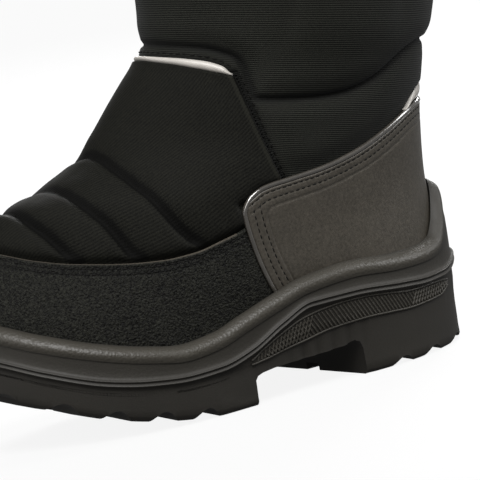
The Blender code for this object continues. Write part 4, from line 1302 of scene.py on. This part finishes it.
# binding, tapes, ribs, footbed
def makeBinding():
    foot = counterEdge(2.0)
    rim = float(rimRow(np.array([foot]))[0])
    rows = np.linspace(rim + float(metricRow(foot, rim, 0.5 * mm)), 3.80, 90)
    turns = np.linspace(-0.258, 0.258, 520)
    side = np.column_stack((counterEdge(rows), rows))
    route = np.vstack((side * (-1, 1), np.column_stack((turns, counterTopRow(np.abs(turns)))), side[::-1]))
    for _ in range(6):
        route[1:-1] = (route[:-2] + 2 * route[1:-1] + route[2:]) / 4
    edge, out = upperBase(*route.T), upperNormal(*route.T)
    away = unitVectors(np.cross(out, np.gradient(edge, axis=0)))
    points = edge + out * overlay["cordHigh"] - away * overlay["cordIn"]
    # a closed cord, wide across the surface and high off it
    along = unitVectors(np.gradient(points, axis=0))
    across = unitVectors(np.cross(out, along))
    sides = overlay["cordSides"]
    angle = (2 * math.pi * np.arange(sides) / sides)[None, :, None]
    rings = (points[:, None] + across[:, None] * np.cos(angle) * overlay["cordWide"]
             + np.cross(along, across)[:, None] * np.sin(angle) * overlay["cordHigh"])
    faces = gridFaces(len(rings), sides, True)
    faces += [list(range(sides)), [(len(rings) - 1) * sides + i for i in range(sides)][::-1]]
    piece = makeMesh("counter_piping", rings.reshape(-1, 3), faces, (bindingPaint,), tight=True, sharp=60)
    settle(piece, "counter_binding", "counter_binding")


tapeLook = {
    "front_tape": {"name": "front_piping", "from": -0.04, "to": 1.02, "rows": 12, "sunk": -0.1 * mm,
                   "edge": 0.25 * mm, "puff": 1.35 * mm, "round": 0.6},
    "back_tape": {"name": "back_piping", "from": 0, "to": 1, "rows": 14, "sunk": -0.2 * mm,
                  "edge": 0.2 * mm, "puff": 1.9 * mm, "round": 0.5},
}


def addTape(node, turn, low, high, ends=1):
    look = tapeLook[node]
    shares = np.linspace(look["from"], look["to"], look["rows"])
    rows = np.array([low + (high - low) * share for share in shares])
    crown = np.sin(np.linspace(0, math.pi, look["rows"]))[:, None] ** look["round"]
    piece = addPanel(look["name"], np.broadcast_to(turn, rows.shape), rows, look["sunk"],
                     look["edge"] + look["puff"] * crown * ends, tapePaint, tight=True, sharp=60)
    return settle(piece, "tape", node)


def makeTapes():
    turn = np.linspace(0.341, 0.659, 220)
    low, high = tapeLowRow(foldTurn(turn)), tapeHighRow(foldTurn(turn))
    ends = roundEdge(np.minimum(turn - turn[0], turn[-1] - turn) / metricTurn(turn, low, 1.0), 4 * mm)
    addTape("front_tape", turn, low, high, ends)
    turn = np.linspace(-backTapeEnd, backTapeEnd, 140)
    low = counterTopRow(np.abs(turn))
    low = low + metricRow(turn, low, 1.9 * mm)
    addTape("back_tape", turn, low, np.maximum(backTapeRow(np.abs(turn)), low + 0.04))


def addBars(name, paths, grain, radius, sides):
    piece = ribs.run(name, pathMesh(name, paths), Radius=radius, Sides=sides, Skin=solePaint)
    # the grain mark lightens the colour too: painted highlight on the ribs and beads
    addMark(piece.data, "grain", np.full(len(piece.data.vertices), grain))
    return settle(piece, "outsole")


def makeRibs():
    # the sole's side under the ledge, as a height field over place and height
    turns = np.linspace(0, 0.5, 400)
    turns = np.concatenate((turns, turns[1:-1] + 0.5))
    flat = np.concatenate([soleWall(turns, line, over * mm, np.full(len(turns), reach * mm))[0][:400]
                           for line, over, reach, grain in soleProfile[4:13]])
    tree = pointTree(flat * (1, 0, 1))
    paths = []

    def onSide(place, height):
        x = soleBack - place * soleLength
        near = tree.find_n((x, 0, height), 6)
        weights = np.array([1 / (gap + 1e-5) for spot, k, gap in near])
        y = sum(flat[k][1] * weight for (spot, k, gap), weight in zip(near, weights)) / weights.sum()
        return np.array((x, y - 0.05 * mm, height))

    def addPair(line):
        # the inner wall isn't the outer wall's mirror: swing it by the last's own curve
        inner = line * (1, -1, 1)
        inner[:, 1] += 2 * lastSwing(footPlace(inner[:, 0]))
        for side, way in ((line, -1.0), (inner, 1.0)):
            paths.append((side, np.tile((0.0, way, 0.0), (len(side), 1))))

    def addBar(start, end, low, high):
        low, high = low + 0.5 * mm, high - 0.5 * mm
        addPair(np.array([onSide(start + (end - start) * share, low + (high - low) * share)
                          for share in np.linspace(0, 1, 7)]))

    for place in np.arange(0.068, 0.520, band["pitch"] / soleLength):
        lean = 0.016 + 0.006 * (place / 0.5)
        low, high = float(bandLow(place)) * mm, float(bandHigh(place + lean)) * mm
        if high - low > band["least"]:
            addBar(place, place + lean * (high - low) / band["leanOver"], low, high)
        if place > 0.40 or place < 0.17:
            back = place - lean * (high - low) / band["leanOver"]
            high = float(bandHigh(max(back, 0.056))) * mm
            if high - low > band["least"] and back > 0.06:
                addBar(place, back, low, high)
    addBars("sole_side_ribs", paths, 0.75, 0.42 * mm, 6)
    paths.clear()
    for curve, shift in ((bandLow, -0.2), (bandHigh, 0.3)):
        addPair(np.array([onSide(place, (float(curve(place)) + shift) * mm)
                          for place in np.linspace(0.060, 0.528, 160)]))
    addBars("sole_side_beads", paths, 0.6, 0.45 * mm, 8)


# rings of the footbed: inset from the last and height over its bed, in mm
bedRings = ((5.7, 0.0), (5.6, 0.8), (5.6, 3.2), (5.9, 4.4), (6.6, 4.9), (7.6, 4.7), (9.5, 4.1))


def makeFootbed():
    edge = upperBase(np.arange(180) / 180, 0.0)[:, :2]
    rings = []
    for inset, height in bedRings:
        plan = edge - planNormals(edge) * inset * mm
        rings.append(np.column_stack((plan, bedHeight(plan[:, 0]) + height * mm)))
    points, faces = ringBody(rings, (0, bedHeight),
                             (len(rings) - 1, lambda x: bedHeight(x) + bedRings[-1][1] * mm))
    piece = makeMesh("felt_footbed", points, faces, (feltPaint,), tight=True, sharp=50)
    return settle(piece, "insole", "insole")


makeBinding()
makeTapes()
makeRibs()
makeFootbed()
print("trim made")
